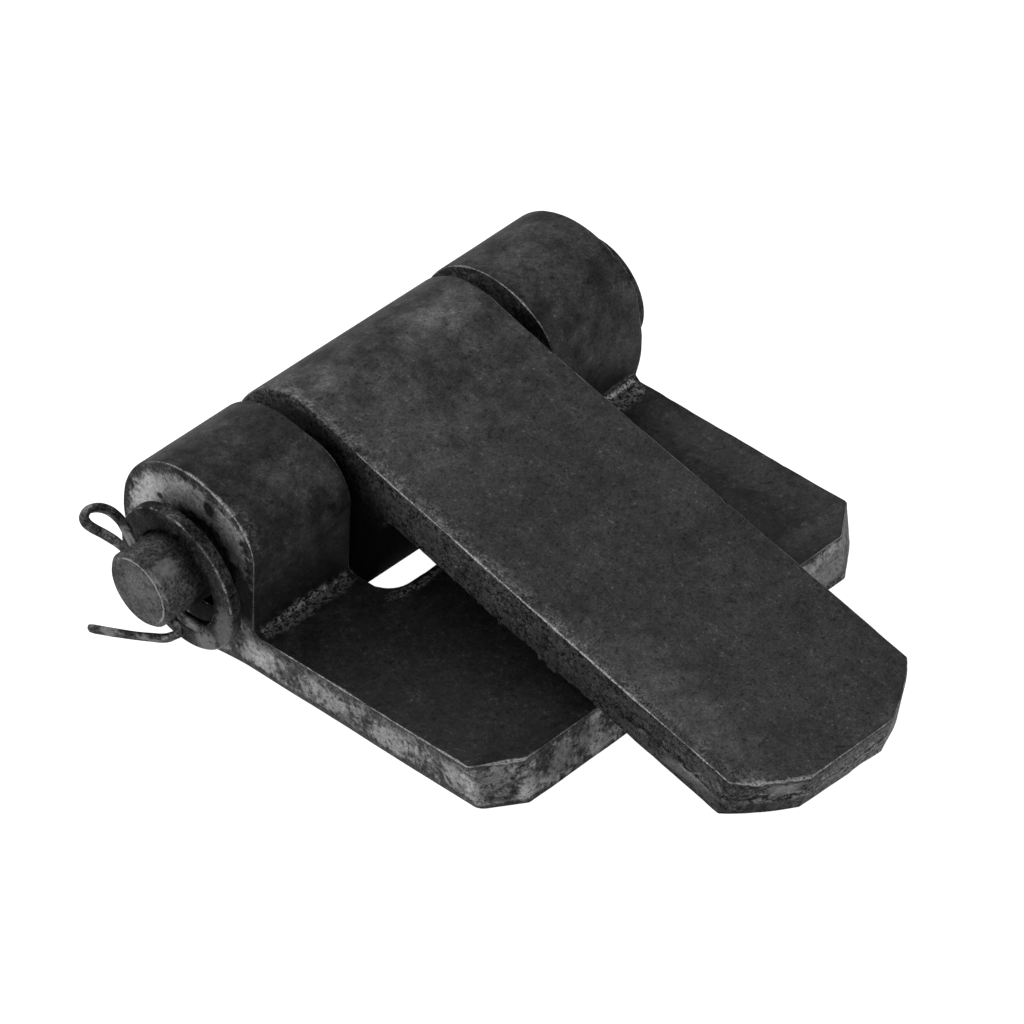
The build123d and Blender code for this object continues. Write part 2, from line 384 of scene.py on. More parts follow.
@dataclass
class CroppedSide:
    """One long side of a leaf, cropped at the free end.

    The side's inset is 0 up to the crop, then grows along the crop's line,
    with round upright corners at both ends of the crop.
    """

    reach: float
    cut_u: float
    cut_y: float
    corner_r: float
    end_r: float
    bulge: float = 0.0

    def __post_init__(self) -> None:
        """Works out where the two round corners start, end and have their middles."""
        self.slope = self.cut_y / self.cut_u
        self.start = self.reach - self.cut_u
        slant = math.hypot(1.0, self.slope)
        self.first_u = self.start + self.corner_r * (1.0 - slant) / self.slope
        self.first_end = self.first_u + self.corner_r * self.slope / slant
        self.last_u = self.reach - self.end_r
        self.last_y = self.slope * (self.last_u - self.start) + self.end_r * slant
        self.last_start = self.last_u + self.end_r * self.slope / slant

    def inset(self, u: Array) -> Array:
        """How far the side lies in from the bar's full width, at places u.

        0, then r - sqrt(r^2 - du^2) round the first corner, then the crop's
        line less a shallow parabola, then the last corner's circle.

        Args:
            u: places along the leaf.

        Returns:
            One inset to a place.
        """
        first = self.corner_r - np.sqrt(np.maximum(self.corner_r**2 - (u - self.first_u) ** 2, 0.0))
        part = np.clip((u - self.first_end) / (self.last_start - self.first_end), 0.0, 1.0)
        bulge = 4.0 * self.bulge * part * (1.0 - part) * math.hypot(1.0, self.slope)
        line = self.slope * (u - self.start) - bulge
        last = self.last_y - np.sqrt(np.maximum(self.end_r**2 - (u - self.last_u) ** 2, 0.0))
        before = [u <= self.first_u, u <= self.first_end, u <= self.last_start]
        return np.select(before, [0.0 * u, first, line], last)

    def stations(self) -> Array:
        """Places along the leaf that follow both round corners closely."""
        first = self.first_u + (self.first_end - self.first_u) * np.linspace(0.0, 1.0, 6)
        count = max(int((self.last_start - self.first_end) / 0.35), 3)
        line = np.linspace(self.first_end, self.last_start, count + 1)[1:-1]
        angle = np.linspace(math.asin((self.last_start - self.last_u) / self.end_r), math.pi / 2, 9)
        return np.concatenate([first, line, self.last_u + self.end_r * np.sin(angle)])


@dataclass
class Leaf:
    """A leaf rolled from flat bar, as one closed mesh of many small sheets.

    It is built in its own axes, with the eye's axis at (0, 0): u along the
    leaf, y across it and v out through its outer face.  Waves are pairs of a
    length and a height.
    """

    name: str
    section: RolledSection
    side: CroppedSide
    low_y: float
    high_y: float
    seed: int
    edge_r: float = 0.34
    step: float = 1.05
    bore_step: float = 1.6
    long_wave: tuple[float, float] = (13.0, 0.05)
    short_wave: tuple[float, float] = (3.1, 0.014)
    sheets: list[Sheet] = field(default_factory=list)

    # -- the parts of the leaf's plan that a fork changes

    def stations(self) -> Array:
        """Places along the leaf from its free end to its neck."""
        fine = self.side.stations()[::-1]
        plain = spread(fine[-1], self.section.neck, self.step, (False, False))
        return np.concatenate([fine, plain[1:]])

    def arms(self) -> list[tuple[str, str]]:
        """Names of the two sides of each arm that carries an eye."""
        return [("low", "high")]

    def side_y(self, name: str, u: Array) -> Array:
        """Where a side of an arm lies across the leaf: at the bar's width, less the crop's inset.

        Args:
            name: which side.
            u: places along the leaf.

        Returns:
            One y to a place.
        """
        if name == "low":
            return self.low_y + self.side.inset(u)
        return self.high_y - self.side.inset(u)

    def plan_runs(self) -> list[Array]:
        """The leaf's outline seen square to it, walked with the metal on the left."""
        u = np.concatenate([[-self.section.eye_r - 1.0], np.sort(self.side.stations())])
        near = np.stack([u, self.side_y("low", u)], axis=1)
        far = np.stack([u, self.side_y("high", u)], axis=1)[::-1]
        return [np.concatenate([near, far])]

    def bend(self, places: Array) -> Array:
        """Moves points to where the real bar strays from its plain shape."""
        return places

    def to_frame(self, places: Array) -> Array:
        """Turns the leaf's own axes into the record's frame."""
        raise NotImplementedError

    # -- sheets

    def add_sheet(self, places: Array, facing: Array, kind: Surface) -> None:
        """Adds a grid of points whose rows each face one way."""
        self.sheets.append(Sheet(places, np.broadcast_to(facing[:, None], places.shape), kind))

    def columns(self, low: Array, high: Array) -> Array:
        """Places across an arm for each row, close together near both edges.

        Args:
            low: the low side for each row.
            high: the high side for each row.

        Returns:
            One row of places for each row.
        """
        near = EDGE_STEPS
        widest = float((high - low).max())
        count = max(int((widest - 2.0 * near[-1]) / self.step), 1)
        part = np.linspace(0.0, 1.0, count + 1)[1:-1]
        squeeze = np.minimum((high - low)[:, None] / (4.0 * near[-1]), 1.0)
        first = low[:, None] + near * squeeze
        last = high[:, None] - near[::-1] * squeeze
        middle = first[:, -1:] + (last[:, :1] - first[:, -1:]) * part
        return np.concatenate([first, middle, last], axis=1)

    def add_skin(self, path: Array, facing: Array, y: Array) -> None:
        """Adds a rolled surface: a path in the section, carried across the leaf.

        Args:
            path: points of the section, one to a row.
            facing: the outward direction of each.
            y: places across the leaf, a row for each point.
        """
        u, v = (np.broadcast_to(path[:, axis:axis + 1], y.shape) for axis in (0, 1))
        self.add_sheet(np.stack([u, y, v], axis=2), in_section(facing), Surface.ROLLED)

    def across_thickness(self) -> Array:
        """Places from the leaf's outer face to its inner one."""
        return spread(self.section.eye_r, self.section.inner, 0.9, (True, True))

    def add_wall(self, u: Array, y: Array, facing: Array) -> None:
        """Adds a sheared wall: a line of the plan, carried through the thickness.

        Args:
            u: places of the line along the leaf.
            y: its places across the leaf.
            facing: the outward direction of each place.
        """
        grid = np.stack(np.broadcast_arrays(u[:, None], y[:, None], self.across_thickness()), axis=2)
        self.add_sheet(grid, in_plan(facing), Surface.SHEARED)

    def eye_rim(self) -> tuple[Array, Array]:
        """The section's outline about the eye, and the bore's point for each of its points.

        The outline is closed at the neck by a cut across the bar, where the
        side wall carries on.  A bore point's angle is four fifths the angle of
        its outline point and one fifth its share of the way round.

        Returns:
            Points of the outline and points of the bore, one to a row.
        """
        roll, _ = self.section.roll()
        cut = self.across_thickness()[::-1][1:-1]
        rim = np.concatenate([roll, np.stack([np.full_like(cut, self.section.neck), cut], axis=1)])
        angle = np.unwrap(np.arctan2(rim[:, 1], rim[:, 0]))
        way = np.linalg.norm(np.diff(rim, axis=0, append=rim[:1]), axis=1)
        along = np.concatenate([[0.0], np.cumsum(way)[:-1]]) / way.sum()
        mixed = 0.8 * angle + 0.2 * (angle[0] + along * 2.0 * math.pi)
        return rim, self.section.bore_r * np.stack([np.cos(mixed), np.sin(mixed)], axis=1)

    def add_cap(self, name: str, away: float) -> None:
        """Adds the flat end of an eye, from its bore to the section's outline.

        Each point of the bore's circle is joined to its point of the outline
        by a straight line.

        Args:
            name: the side that the end lies on.
            away: 1 where it faces along y, -1 where it faces back.
        """
        rim, hole = self.eye_rim()
        gap = np.linalg.norm(rim - hole, axis=1)
        share = (self.columns(np.zeros_like(gap), gap) / gap[:, None])[:, :, None]
        flat = hole[:, None] * (1.0 - share) + rim[:, None] * share
        flat = np.concatenate([flat, flat[:1]])
        grid = np.stack([flat[:, :, 0], self.side_y(name, flat[:, :, 0]), flat[:, :, 1]], axis=2)
        self.add_sheet(grid, np.tile([0.0, away, 0.0], (len(grid), 1)), Surface.SHEARED)

    def add_bore(self, low: str, high: str) -> None:
        """Adds the bore: its circle carried from one side of an arm to the other.

        Args:
            low: the side that it starts on.
            high: the side that it ends on.
        """
        _, ring = self.eye_rim()
        ring = np.concatenate([ring, ring[:1]])
        start, stop = self.side_y(low, ring[:, :1]), self.side_y(high, ring[:, :1])
        length = float((stop - start)[0, 0])
        share = spread(0.0, length, self.bore_step, (True, True)) / length
        y = start * (1.0 - share) + stop * share
        grid = np.stack(np.broadcast_arrays(ring[:, :1], y, ring[:, 1:]), axis=2)
        self.add_sheet(grid, in_section(-unit(ring)), Surface.BORE)

    def wall_along(self, name: str, u: Array, away: float) -> None:
        """Adds the wall of one side of an arm, square to the side's slope.

        Args:
            name: which side.
            u: places along the leaf.
            away: 1 where the wall faces along y, -1 where it faces back.
        """
        slight = 1e-3
        rise = (self.side_y(name, u + slight) - self.side_y(name, u - slight)) / (2.0 * slight)
        facing = unit(np.stack([-rise * away, np.full_like(u, away)], axis=1))
        self.add_wall(u, self.side_y(name, u), facing)

    def add_sheets(self) -> None:
        """Adds every sheet of the leaf."""
        flat_u = self.stations()
        roll, roll_facing = self.section.roll()
        for low, high in self.arms():
            outer = np.stack([flat_u, np.full_like(flat_u, self.section.eye_r)], axis=1)
            inner = np.stack([flat_u[::-1], np.full_like(flat_u, self.section.inner)], axis=1)
            path = np.concatenate([outer[:-1], roll, inner[1:]])
            flat_facing = np.tile([0.0, 1.0], (len(flat_u) - 1, 1))
            facing = np.concatenate([flat_facing, roll_facing, -flat_facing])
            y = self.columns(self.side_y(low, path[:, 0]), self.side_y(high, path[:, 0]))
            self.add_skin(path, facing, y)
            end = y[0]
            self.add_wall(np.full_like(end, flat_u[0]), end, np.tile([1.0, 0.0], (len(end), 1)))
            self.add_cap(low, -1.0)
            self.add_cap(high, 1.0)
            self.add_bore(low, high)
        self.add_side_walls(flat_u)

    def add_side_walls(self, flat_u: Array) -> None:
        """Adds the walls of the leaf's two long sides."""
        self.wall_along("low", flat_u, -1.0)
        self.wall_along("high", flat_u, 1.0)

    # -- putting it together

    def chips(self, places: Array) -> Array:
        """What wear adds to the edge's radius: a slow and a fast noise, and nicks where a third is high.

        Args:
            places: points of the leaf.

        Returns:
            One length to a point.
        """
        slow = 0.13 * grain(places, 6.0, self.seed) + 0.11 * grain(places, 1.7, self.seed + 1)
        nick = np.maximum(grain(places, 1.4, self.seed + 2) + 0.5 * grain(places, 4.5, self.seed + 3) - 0.62, 0.0)
        return np.clip(slow + 1.05 * nick, -0.22, 0.5)

    def soften(self, sheet: Sheet, plan: Outline, outline: Outline) -> tuple[Array, Array]:
        """Rounds a sheet over where it meets the others.

        A point lies at some depth inside each of the two surfaces that meet
        at an edge.  Both surfaces are moved in by the edge's radius r, the
        point goes to the nearest place on what is left, and comes out again
        by r.  Points deeper than r don't move.

        Args:
            sheet: the sheet.
            plan: the leaf's outline seen square to it.
            outline: the outline of its section.

        Returns:
            The new places and the distance of each point from its edge.
        """
        places, facing = sheet.places.reshape(-1, 3), sheet.facing.reshape(-1, 3)
        if sheet.kind is Surface.SHEARED:
            flat = places[:, [0, 2]]
            depth, normal = outline.depth(flat)
            to_axis = np.linalg.norm(flat, axis=1)
            from_bore = to_axis - self.section.bore_r
            by_bore = from_bore < depth
            depth = np.where(by_bore, np.maximum(from_bore, 0.0), depth)
            other = in_section(np.where(by_bore[:, None], -flat / to_axis[:, None], normal))
        else:
            depth, normal = plan.depth(places[:, :2])
            other = in_plan(normal)
        radius = (self.edge_r + self.chips(places))[:, None]
        give = np.maximum(radius - depth[:, None], 0.0)
        core = places - facing * radius - other * give
        return core + radius * unit(facing * radius + other * give), depth

    def wander(self, places: Array) -> Array:
        """Moves points along each axis by two noises, as a hot-rolled and forged face is uneven.

        Args:
            places: points of the leaf.

        Returns:
            The moved points.
        """
        shift = np.zeros_like(places)
        for first_seed, (size, height) in ((10, self.long_wave), (20, self.short_wave)):
            for axis in range(3):
                shift[:, axis] += grain(places, size, self.seed + first_seed + axis) * height
        return places + shift

    def build(self) -> bpy.types.Object:
        """Builds the leaf.

        Points of different sheets that start at one place are one corner of
        the mesh, and it goes to the mean of where each sheet sends them.  The
        mesh carries three numbers for the finish: the distance from the edge,
        the kind of surface, and the depth below the bar's outer face.

        Returns:
            The leaf's object.
        """
        self.add_sheets()
        roll, _ = self.section.roll()
        beyond = self.side.reach + 3.0
        loop = np.concatenate([[[beyond, self.section.eye_r]], roll, [[beyond, self.section.inner]]])
        plan, outline = Outline(self.plan_runs()), Outline([loop])
        starts, ends, depths, kinds, faces, count = [], [], [], [], [], 0
        for sheet in self.sheets:
            moved, depth = self.soften(sheet, plan, outline)
            moved = self.to_frame(self.wander(self.bend(moved)))
            quads = grid_faces(*sheet.places.shape[:2])
            corner = moved[quads]
            turned = np.cross(corner[:, 2] - corner[:, 0], corner[:, 3] - corner[:, 1])
            ahead = self.to_frame(sheet.facing.reshape(-1, 3)) - self.to_frame(np.zeros((1, 3)))
            if (turned * ahead[quads[:, 0]]).sum() < 0.0:
                quads = quads[:, ::-1]
            starts.append(sheet.places.reshape(-1, 3))
            ends.append(moved)
            depths.append(depth)
            kinds.append(np.full(len(moved), sheet.kind.value))
            faces.append(quads + count)
            count += len(moved)
        key = np.round(np.concatenate(starts) + OFF_TIES, SAME_PLACE)
        _, same = np.unique(key, axis=0, return_inverse=True)
        same = same.reshape(-1)
        start, mean = (means(same, np.concatenate(rows)) for rows in (starts, ends))
        depth, kind = (means(same, np.concatenate(rows)[:, None])[:, 0] for rows in (depths, kinds))
        out = np.where(start[:, 0] > 0.0, np.abs(start[:, 2]), np.hypot(start[:, 0], start[:, 2]))
        deep = np.clip(self.section.eye_r - out, 0.0, self.section.bar)
        quads = same[np.concatenate(faces)]
        numbers = {"edge": np.minimum(depth, FAR_FROM_EDGE), "cut": kind, "deep": deep}
        piece = write_mesh(self.name, mean, quads, numbers)
        log.info("%s: %d corners, %d faces", self.name, len(mean), len(quads))
        return piece


@dataclass
class ForkLeaf(Leaf):
    """The fork leaf, flat on its weld face, with a throat between two eyes."""

    near_inner: float = -20.0
    far_inner: float = 20.6
    near_step: float = 0.9
    throat: float = 18.5
    throat_r: float = 4.0
    rolled_r: float = 1.6
    fuller: float = 1.1

    def stations(self) -> Array:
        """Places along the leaf, with the throat's bottom and round corners."""
        fine = self.side.stations()[::-1]
        plate = spread(fine[-1], self.throat, self.step, (False, True))[1:]
        start = math.asin((self.section.neck - self.throat + self.throat_r) / self.throat_r)
        angle = np.linspace(math.pi / 2, start, 16)[1:]
        return np.concatenate([fine, plate, self.throat - self.throat_r + self.throat_r * np.sin(angle)])

    def arms(self) -> list[tuple[str, str]]:
        """Names of the sides of the near and the far arm."""
        return [("low", "near_in"), ("far_in", "high")]

    def side_y(self, name: str, u: Array) -> Array:
        """Where a side lies.

        At the throat's corners its sides turn in by r - sqrt(r^2 - du^2), and
        the near one stands a step further in beyond its eye.

        Args:
            name: which side.
            u: places along the leaf.

        Returns:
            One y to a place.
        """
        if name in ("low", "high"):
            return super().side_y(name, u)
        part = np.clip((u - self.throat + self.throat_r) / self.throat_r, 0.0, 1.0)
        turn_in = self.throat_r * (1.0 - np.sqrt(1.0 - part * part))
        if name == "near_in":
            return self.near_inner + self.near_step * smoothstep(4.0, 11.0, u) + turn_in
        return self.far_inner - turn_in

    def plan_runs(self) -> list[Array]:
        """The leaf's outline and the throat's."""
        back = -self.section.eye_r - 1.0
        angle = np.linspace(0.0, math.pi / 2, 12)
        u = np.concatenate([[back], self.throat - self.throat_r + self.throat_r * np.sin(angle)])
        far = np.stack([u, self.side_y("far_in", u)], axis=1)
        near = np.stack([u, self.side_y("near_in", u)], axis=1)[::-1]
        return [*super().plan_runs(), np.concatenate([far, near])]

    def bend(self, places: Array) -> Array:
        """Rolls the bar's long edges round along its weld face and lets the far side taper.

        Within r of a side, the weld face drops by r - sqrt(r^2 - (r - s)^2),
        where s is the distance from that side, and the metal above it gives
        way less and less over the next few millimetres.  The far eye closes
        a little fuller than the near one.

        Args:
            places: points of the leaf.

        Returns:
            The moved points.
        """
        near_side = np.clip(self.high_y - np.abs(places[:, 1]), 0.0, self.rolled_r)
        drop = self.rolled_r - np.sqrt(self.rolled_r**2 - (self.rolled_r - near_side) ** 2)
        above = np.clip((self.section.eye_r - places[:, 2]) / 5.0, 0.0, 1.0)
        drop = drop * (1.0 - above) * smoothstep(-2.0, 9.0, places[:, 0])
        far = smoothstep(20.0, 36.0, places[:, 1])
        aside = far * (0.35 - 0.85 * smoothstep(0.0, self.side.reach - 6.0, places[:, 0]))
        tail = smoothstep(-7.0, 0.0, places[:, 2]) * smoothstep(9.5, 2.0, places[:, 2])
        tail = tail * smoothstep(7.8, 10.5, places[:, 0]) * smoothstep(19.0, 21.0, places[:, 1])
        return places + np.stack([self.fuller * tail, aside, -drop], axis=1)

    def add_side_walls(self, flat_u: Array) -> None:
        """Adds the long sides, the throat's sides and the throat's bottom.

        Args:
            flat_u: the rows along the flat.
        """
        super().add_side_walls(flat_u)
        in_throat = flat_u[flat_u <= self.throat + 1e-9]
        for name, away in (("near_in", 1.0), ("far_in", -1.0)):
            turn = np.clip((in_throat - self.throat + self.throat_r) / self.throat_r, 0.0, 1.0)
            normal = np.stack([-turn, away * np.sqrt(1.0 - turn * turn)], axis=1)
            self.add_wall(in_throat, self.side_y(name, in_throat), normal)
        plate = flat_u[flat_u >= self.throat - 1e-9]
        low = self.side_y("near_in", np.array([self.throat + 1.0]))
        high = self.side_y("far_in", np.array([self.throat + 1.0]))
        y = self.columns(low, high)[0]
        for v, out in ((self.section.eye_r, 1.0), (self.section.inner, -1.0)):
            path = np.stack([plate, np.full_like(plate, v)], axis=1)
            facing = np.tile([0.0, out], (len(plate), 1))
            self.add_skin(path, facing, np.broadcast_to(y, (len(plate), len(y))))
        self.add_wall(np.full_like(y, plate[0]), y, np.tile([1.0, 0.0], (len(y), 1)))
        self.add_wall(np.full_like(y, plate[-1]), y, np.tile([-1.0, 0.0], (len(y), 1)))

    def to_frame(self, places: Array) -> Array:
        """The leaf's outer face is its weld face, so its own up is the frame's down."""
        return np.stack([EYE_AXIS[0] + places[:, 0], places[:, 1], EYE_AXIS[1] - places[:, 2]], axis=1)


@dataclass
class StrapLeaf(Leaf):
    """The strap leaf, resting on the fork leaf's free end, a little askew."""

    shut_angle: float = 15.283
    skew: float = 0.6
    undercut: float = 1.2
    eye_aside: float = 0.40
    leaf_aside: float = 0.15
    burred: tuple[float, float] = (22.0, 56.0)
    burr_step: float = 0.24
    burr_down: float = 0.8
    burr_out: float = 0.12

    def stations(self) -> Array:
        """Places along the leaf, closer together where its lower edge is burred."""
        fine = self.side.stations()[::-1]
        first, last = self.burred
        runs = ((fine[-1], last, self.step), (last, first, self.burr_step), (first, self.section.neck, self.step))
        return np.concatenate([fine, *(spread(*run, (False, False))[1:] for run in runs)])

    def bend(self, places: Array) -> Array:
        """Moves points to where the real bar strays from its plain shape.

        The sheared end leans in under the outer face, less so towards the far
        side.  The eye is set a little off the leaf.  A burr is drawn down from
        the near lower edge, as long as the positive part of two noises.

        Args:
            places: points of the leaf.

        Returns:
            The moved points.
        """
        lean = smoothstep(self.side.reach - 14.0, self.side.reach - 3.0, places[:, 0])
        under = (self.section.eye_r - places[:, 2]) / self.section.bar
        far_less = 0.34 * np.clip((places[:, 1] + 8.0) / 16.0, 0.0, 1.0) + 0.56 * smoothstep(8.0, 14.0, places[:, 1])
        under = under * (1.0 - far_less)
        aside = self.eye_aside - (self.eye_aside + self.leaf_aside) * smoothstep(-6.0, 14.0, places[:, 0])
        low = smoothstep(6.6, 7.7, self.section.eye_r - places[:, 2])
        low = low * smoothstep(self.low_y + 1.4, self.low_y + 0.2, places[:, 1])
        first, last = self.burred
        span = smoothstep(first, first + 12.0, places[:, 0]) * smoothstep(last, last - 6.0, places[:, 0])
        teeth = 0.7 * grain(places * [1.0, 0.3, 0.3], 0.62, self.seed + 5)
        teeth = teeth + 0.6 * grain(places * [1.0, 0.0, 0.0], 3.2, self.seed + 6) + 0.22
        burr = low * span * np.maximum(teeth, 0.0)
        shift = [-self.undercut * lean * under, aside - self.burr_out * burr, -self.burr_down * burr]
        return places + np.stack(shift, axis=1)

    def to_frame(self, places: Array) -> Array:
        """Tips the leaf down about the pin, then turns it by its skew about the vertical.

        Args:
            places: points in the leaf's own axes.

        Returns:
            The points in the record's frame.
        """
        shut, skew = math.radians(self.shut_angle), math.radians(self.skew)
        x = places[:, 0] * math.cos(shut) + places[:, 2] * math.sin(shut)
        z = places[:, 2] * math.cos(shut) - places[:, 0] * math.sin(shut)
        y = places[:, 1] * math.cos(skew) - x * math.sin(skew)
        x = x * math.cos(skew) + places[:, 1] * math.sin(skew)
        return np.stack([EYE_AXIS[0] + x, y, EYE_AXIS[1] + z], axis=1)


# ------------------------------------------------------------------ pin pieces


@dataclass
class Washer:
    """The washer: a punched ring with a chipped rim, hanging loose on the pin."""

    middle: Place = (-38.5228, -40.8, 15.4466)
    outer_r: float = 11.55
    hole_r: float = 7.7
    thickness: float = 2.0
    corner_r: float = 0.38
    step: float = 0.4
    around: int = 240
    seed: int = 71

    def profile(self) -> tuple[Array, Array]:
        """Rounded rectangle in the plane of radius and height, walked round once.

        Returns:
            Points, and the distance of each from the nearest corner.
        """
        half, mean_r = self.thickness / 2.0, (self.outer_r + self.hole_r) / 2.0
        sharp = np.array([(self.outer_r, half), (self.hole_r, half), (self.hole_r, -half), (self.outer_r, -half)])
        points = []
        for quarter, (radius, height) in enumerate(sharp):
            angle = np.radians(90.0 * quarter + np.linspace(0.0, 90.0, 6))
            inset = np.array([math.copysign(self.corner_r, radius - mean_r), math.copysign(self.corner_r, height)])
            points.append([radius, height] - inset + self.corner_r * np.stack([np.cos(angle), np.sin(angle)], axis=1))
        dense = resample(np.concatenate([*points, points[0][:1]]), self.step)[:-1]
        return dense, np.linalg.norm(dense[:, None] - sharp[None], axis=2).min(axis=1)

    def build(self) -> bpy.types.Object:
        """Builds the washer.

        The profile is carried round the washer's own axis.  A slow noise and
        nicks on the rim move its points out or in, and two more bend its
        faces along the axis.

        Returns:
            The washer's object.
        """
        profile, edge = self.profile()
        angle = np.linspace(0.0, 2.0 * math.pi, self.around, endpoint=False)
        radius, height = profile[:, :1], profile[:, 1:]
        rows = np.broadcast_arrays(radius * np.cos(angle), -height, radius * np.sin(angle))
        flat = np.stack(rows, axis=2).reshape(-1, 3)
        rim = smoothstep(self.outer_r - 0.9, self.outer_r - 0.1, np.repeat(radius, self.around))
        nick = np.maximum(grain(flat, 1.3, self.seed) + 0.4 * grain(flat, 4.0, self.seed + 1) - 0.5, 0.0)
        out = unit(flat * [1.0, 0.0, 1.0])
        wavy = 0.05 * grain(flat, 7.0, self.seed + 2) - 0.45 * nick * rim
        lift = 0.06 * grain(flat, 8.0, self.seed + 3) + 0.02 * grain(flat, 1.6, self.seed + 4)
        places = flat + out * wavy[:, None] + np.outer(lift, [0.0, 1.0, 0.0]) + self.middle
        quads = grid_faces(len(profile), self.around, (True, True))
        numbers = {"edge": np.repeat(edge, self.around)}
        piece = write_mesh("washer_ring", places, outward(places, quads), numbers)
        log.info("washer_ring: %d faces", len(quads))
        return piece


@dataclass
class SplitPin:
    """The split pin: a half-round wire bent into an eye and two legs.

    Its middle line is given in a frame at the middle of the pin's cross hole:
    out along the pin, up the hole to the eye, and round the pin.  Each tip is
    rounded by rings that stand some way in from it, at a share of full size.
    """

    middle: Place = (-39.3057, -45.2, 16.7873)
    hole_angle: float = 135.0
    thick: float = 1.25
    wide: float = 1.75
    eye_more: float = 0.27
    flat_at: float = -0.62
    around: int = 20
    seed: int = 91
    tips: tuple[tuple[float, float], ...] = ((0.0, 0.0), (0.01, 0.55), (0.12, 0.85))
    route: tuple[Place, ...] = (
        (-2.35, -9.4, 0.0), (-1.5, -8.0, 0.0), (-0.85, -6.6, 0.0), (-0.68, -5.2, 0.0), (-0.68, -1.5, 0.0),
        (-0.68, 2.0, 0.0), (-0.68, 4.6, 0.0), (-0.72, 6.2, 0.0), (-0.95, 7.9, 0.0), (-1.05, 9.6, 0.0),
        (-0.5, 11.4, 0.0), (0.7, 12.65, 0.0), (2.2, 13.15, 0.0), (3.3, 12.75, 0.0), (3.55, 11.9, 0.0),
        (3.15, 10.8, 0.0), (2.3, 9.4, 0.0), (1.5, 7.9, 0.0), (1.0, 6.6, 0.0), (0.68, 5.2, 0.0),
        (0.68, 2.0, 0.0), (0.68, -2.0, 0.0), (0.68, -5.0, 0.0), (0.7, -6.9, 0.05), (0.95, -7.95, 0.5),
        (1.6, -7.9, 1.45), (2.3, -7.45, 2.4), (3.4, -6.25, 3.65), (4.6, -4.9, 4.85), (5.9, -3.3, 6.2),
        (7.1, -1.6, 7.85), (7.95, -0.4, 8.92),
    )

    def line(self) -> Array:
        """A Catmull-Rom curve through the route.

        On each run it is the cubic whose slope at either end is half the line
        between that point's neighbours.

        Returns:
            Points of the curve, one to a row.
        """
        points = np.array(self.route)
        points = np.concatenate([[2 * points[0] - points[1]], points, [2 * points[-1] - points[-2]]])
        before, start, stop, after = (points[first:len(points) - 3 + first, None] for first in range(4))
        t = np.linspace(0.0, 1.0, 7)[:-1][None, :, None]
        curve = start + t * (stop - before) / 2 + t**2 * (before - 2.5 * start + 2 * stop - after / 2)
        curve = curve + t**3 * (1.5 * (start - stop) + (after - before) / 2)
        return np.concatenate([curve.reshape(-1, 3), points[-2:-1]])

    def build(self) -> bpy.types.Object:
        """Builds the split pin.

        A circle cut off flat on one side is carried along the curve, its
        width always across the curve's own plane.  It is a little thicker at
        the eye, shrinks to a point at both tips, and is roughened by noise.

        Returns:
            The split pin's object.
        """
        curve = self.line()
        way = unit(np.gradient(curve, axis=0))
        across = np.tile([0.0, 0.0, 1.0], (len(curve), 1))
        across = unit(across - way * (across * way).sum(axis=1, keepdims=True))
        out = np.cross(across, way)
        into, size = np.array(self.tips).T
        grow = np.concatenate([size, np.ones(len(curve) - 2 * len(size)), size[::-1]])
        curve[:len(into)] = curve[0] + way[0] * into[:, None]
        curve[-len(into):] = curve[-1] - way[-1] * into[::-1, None]
        angle = np.linspace(0.0, 2.0 * math.pi, self.around, endpoint=False)
        thick = self.thick + self.eye_more * smoothstep(6.4, 8.4, np.abs(curve[:, 1]))
        high = np.maximum(np.cos(angle), self.flat_at)[None, :, None] * out[:, None] * thick[:, None, None] / 2
        broad = np.sin(angle)[None, :, None] * across[:, None] * self.wide / 2
        tube = (curve[:, None] + (high + broad) * grow[:, None, None]).reshape(-1, 3)
        tube += np.stack([grain(tube, 1.5, self.seed + axis) * 0.03 for axis in range(3)], axis=1)
        turn = math.radians(self.hole_angle)
        up = np.array([math.cos(turn), 0.0, math.sin(turn)])
        along = np.array([0.0, -1.0, 0.0])
        places = np.array(self.middle) + tube @ np.stack([along, up, np.cross(along, up)])
        rows = len(curve)
        quads = grid_faces(rows, self.around, (False, True))
        from_tip = np.minimum(np.arange(rows), np.arange(rows)[::-1])
        numbers = {"edge": np.repeat(from_tip * 0.3, self.around)}
        piece = write_mesh("split_pin_wire", places, outward(places, quads), numbers)
        close_poles(piece.data)
        log.info("split_pin_wire: %d faces", len(quads))
        return piece


# ------------------------------------------------------------------ finishes


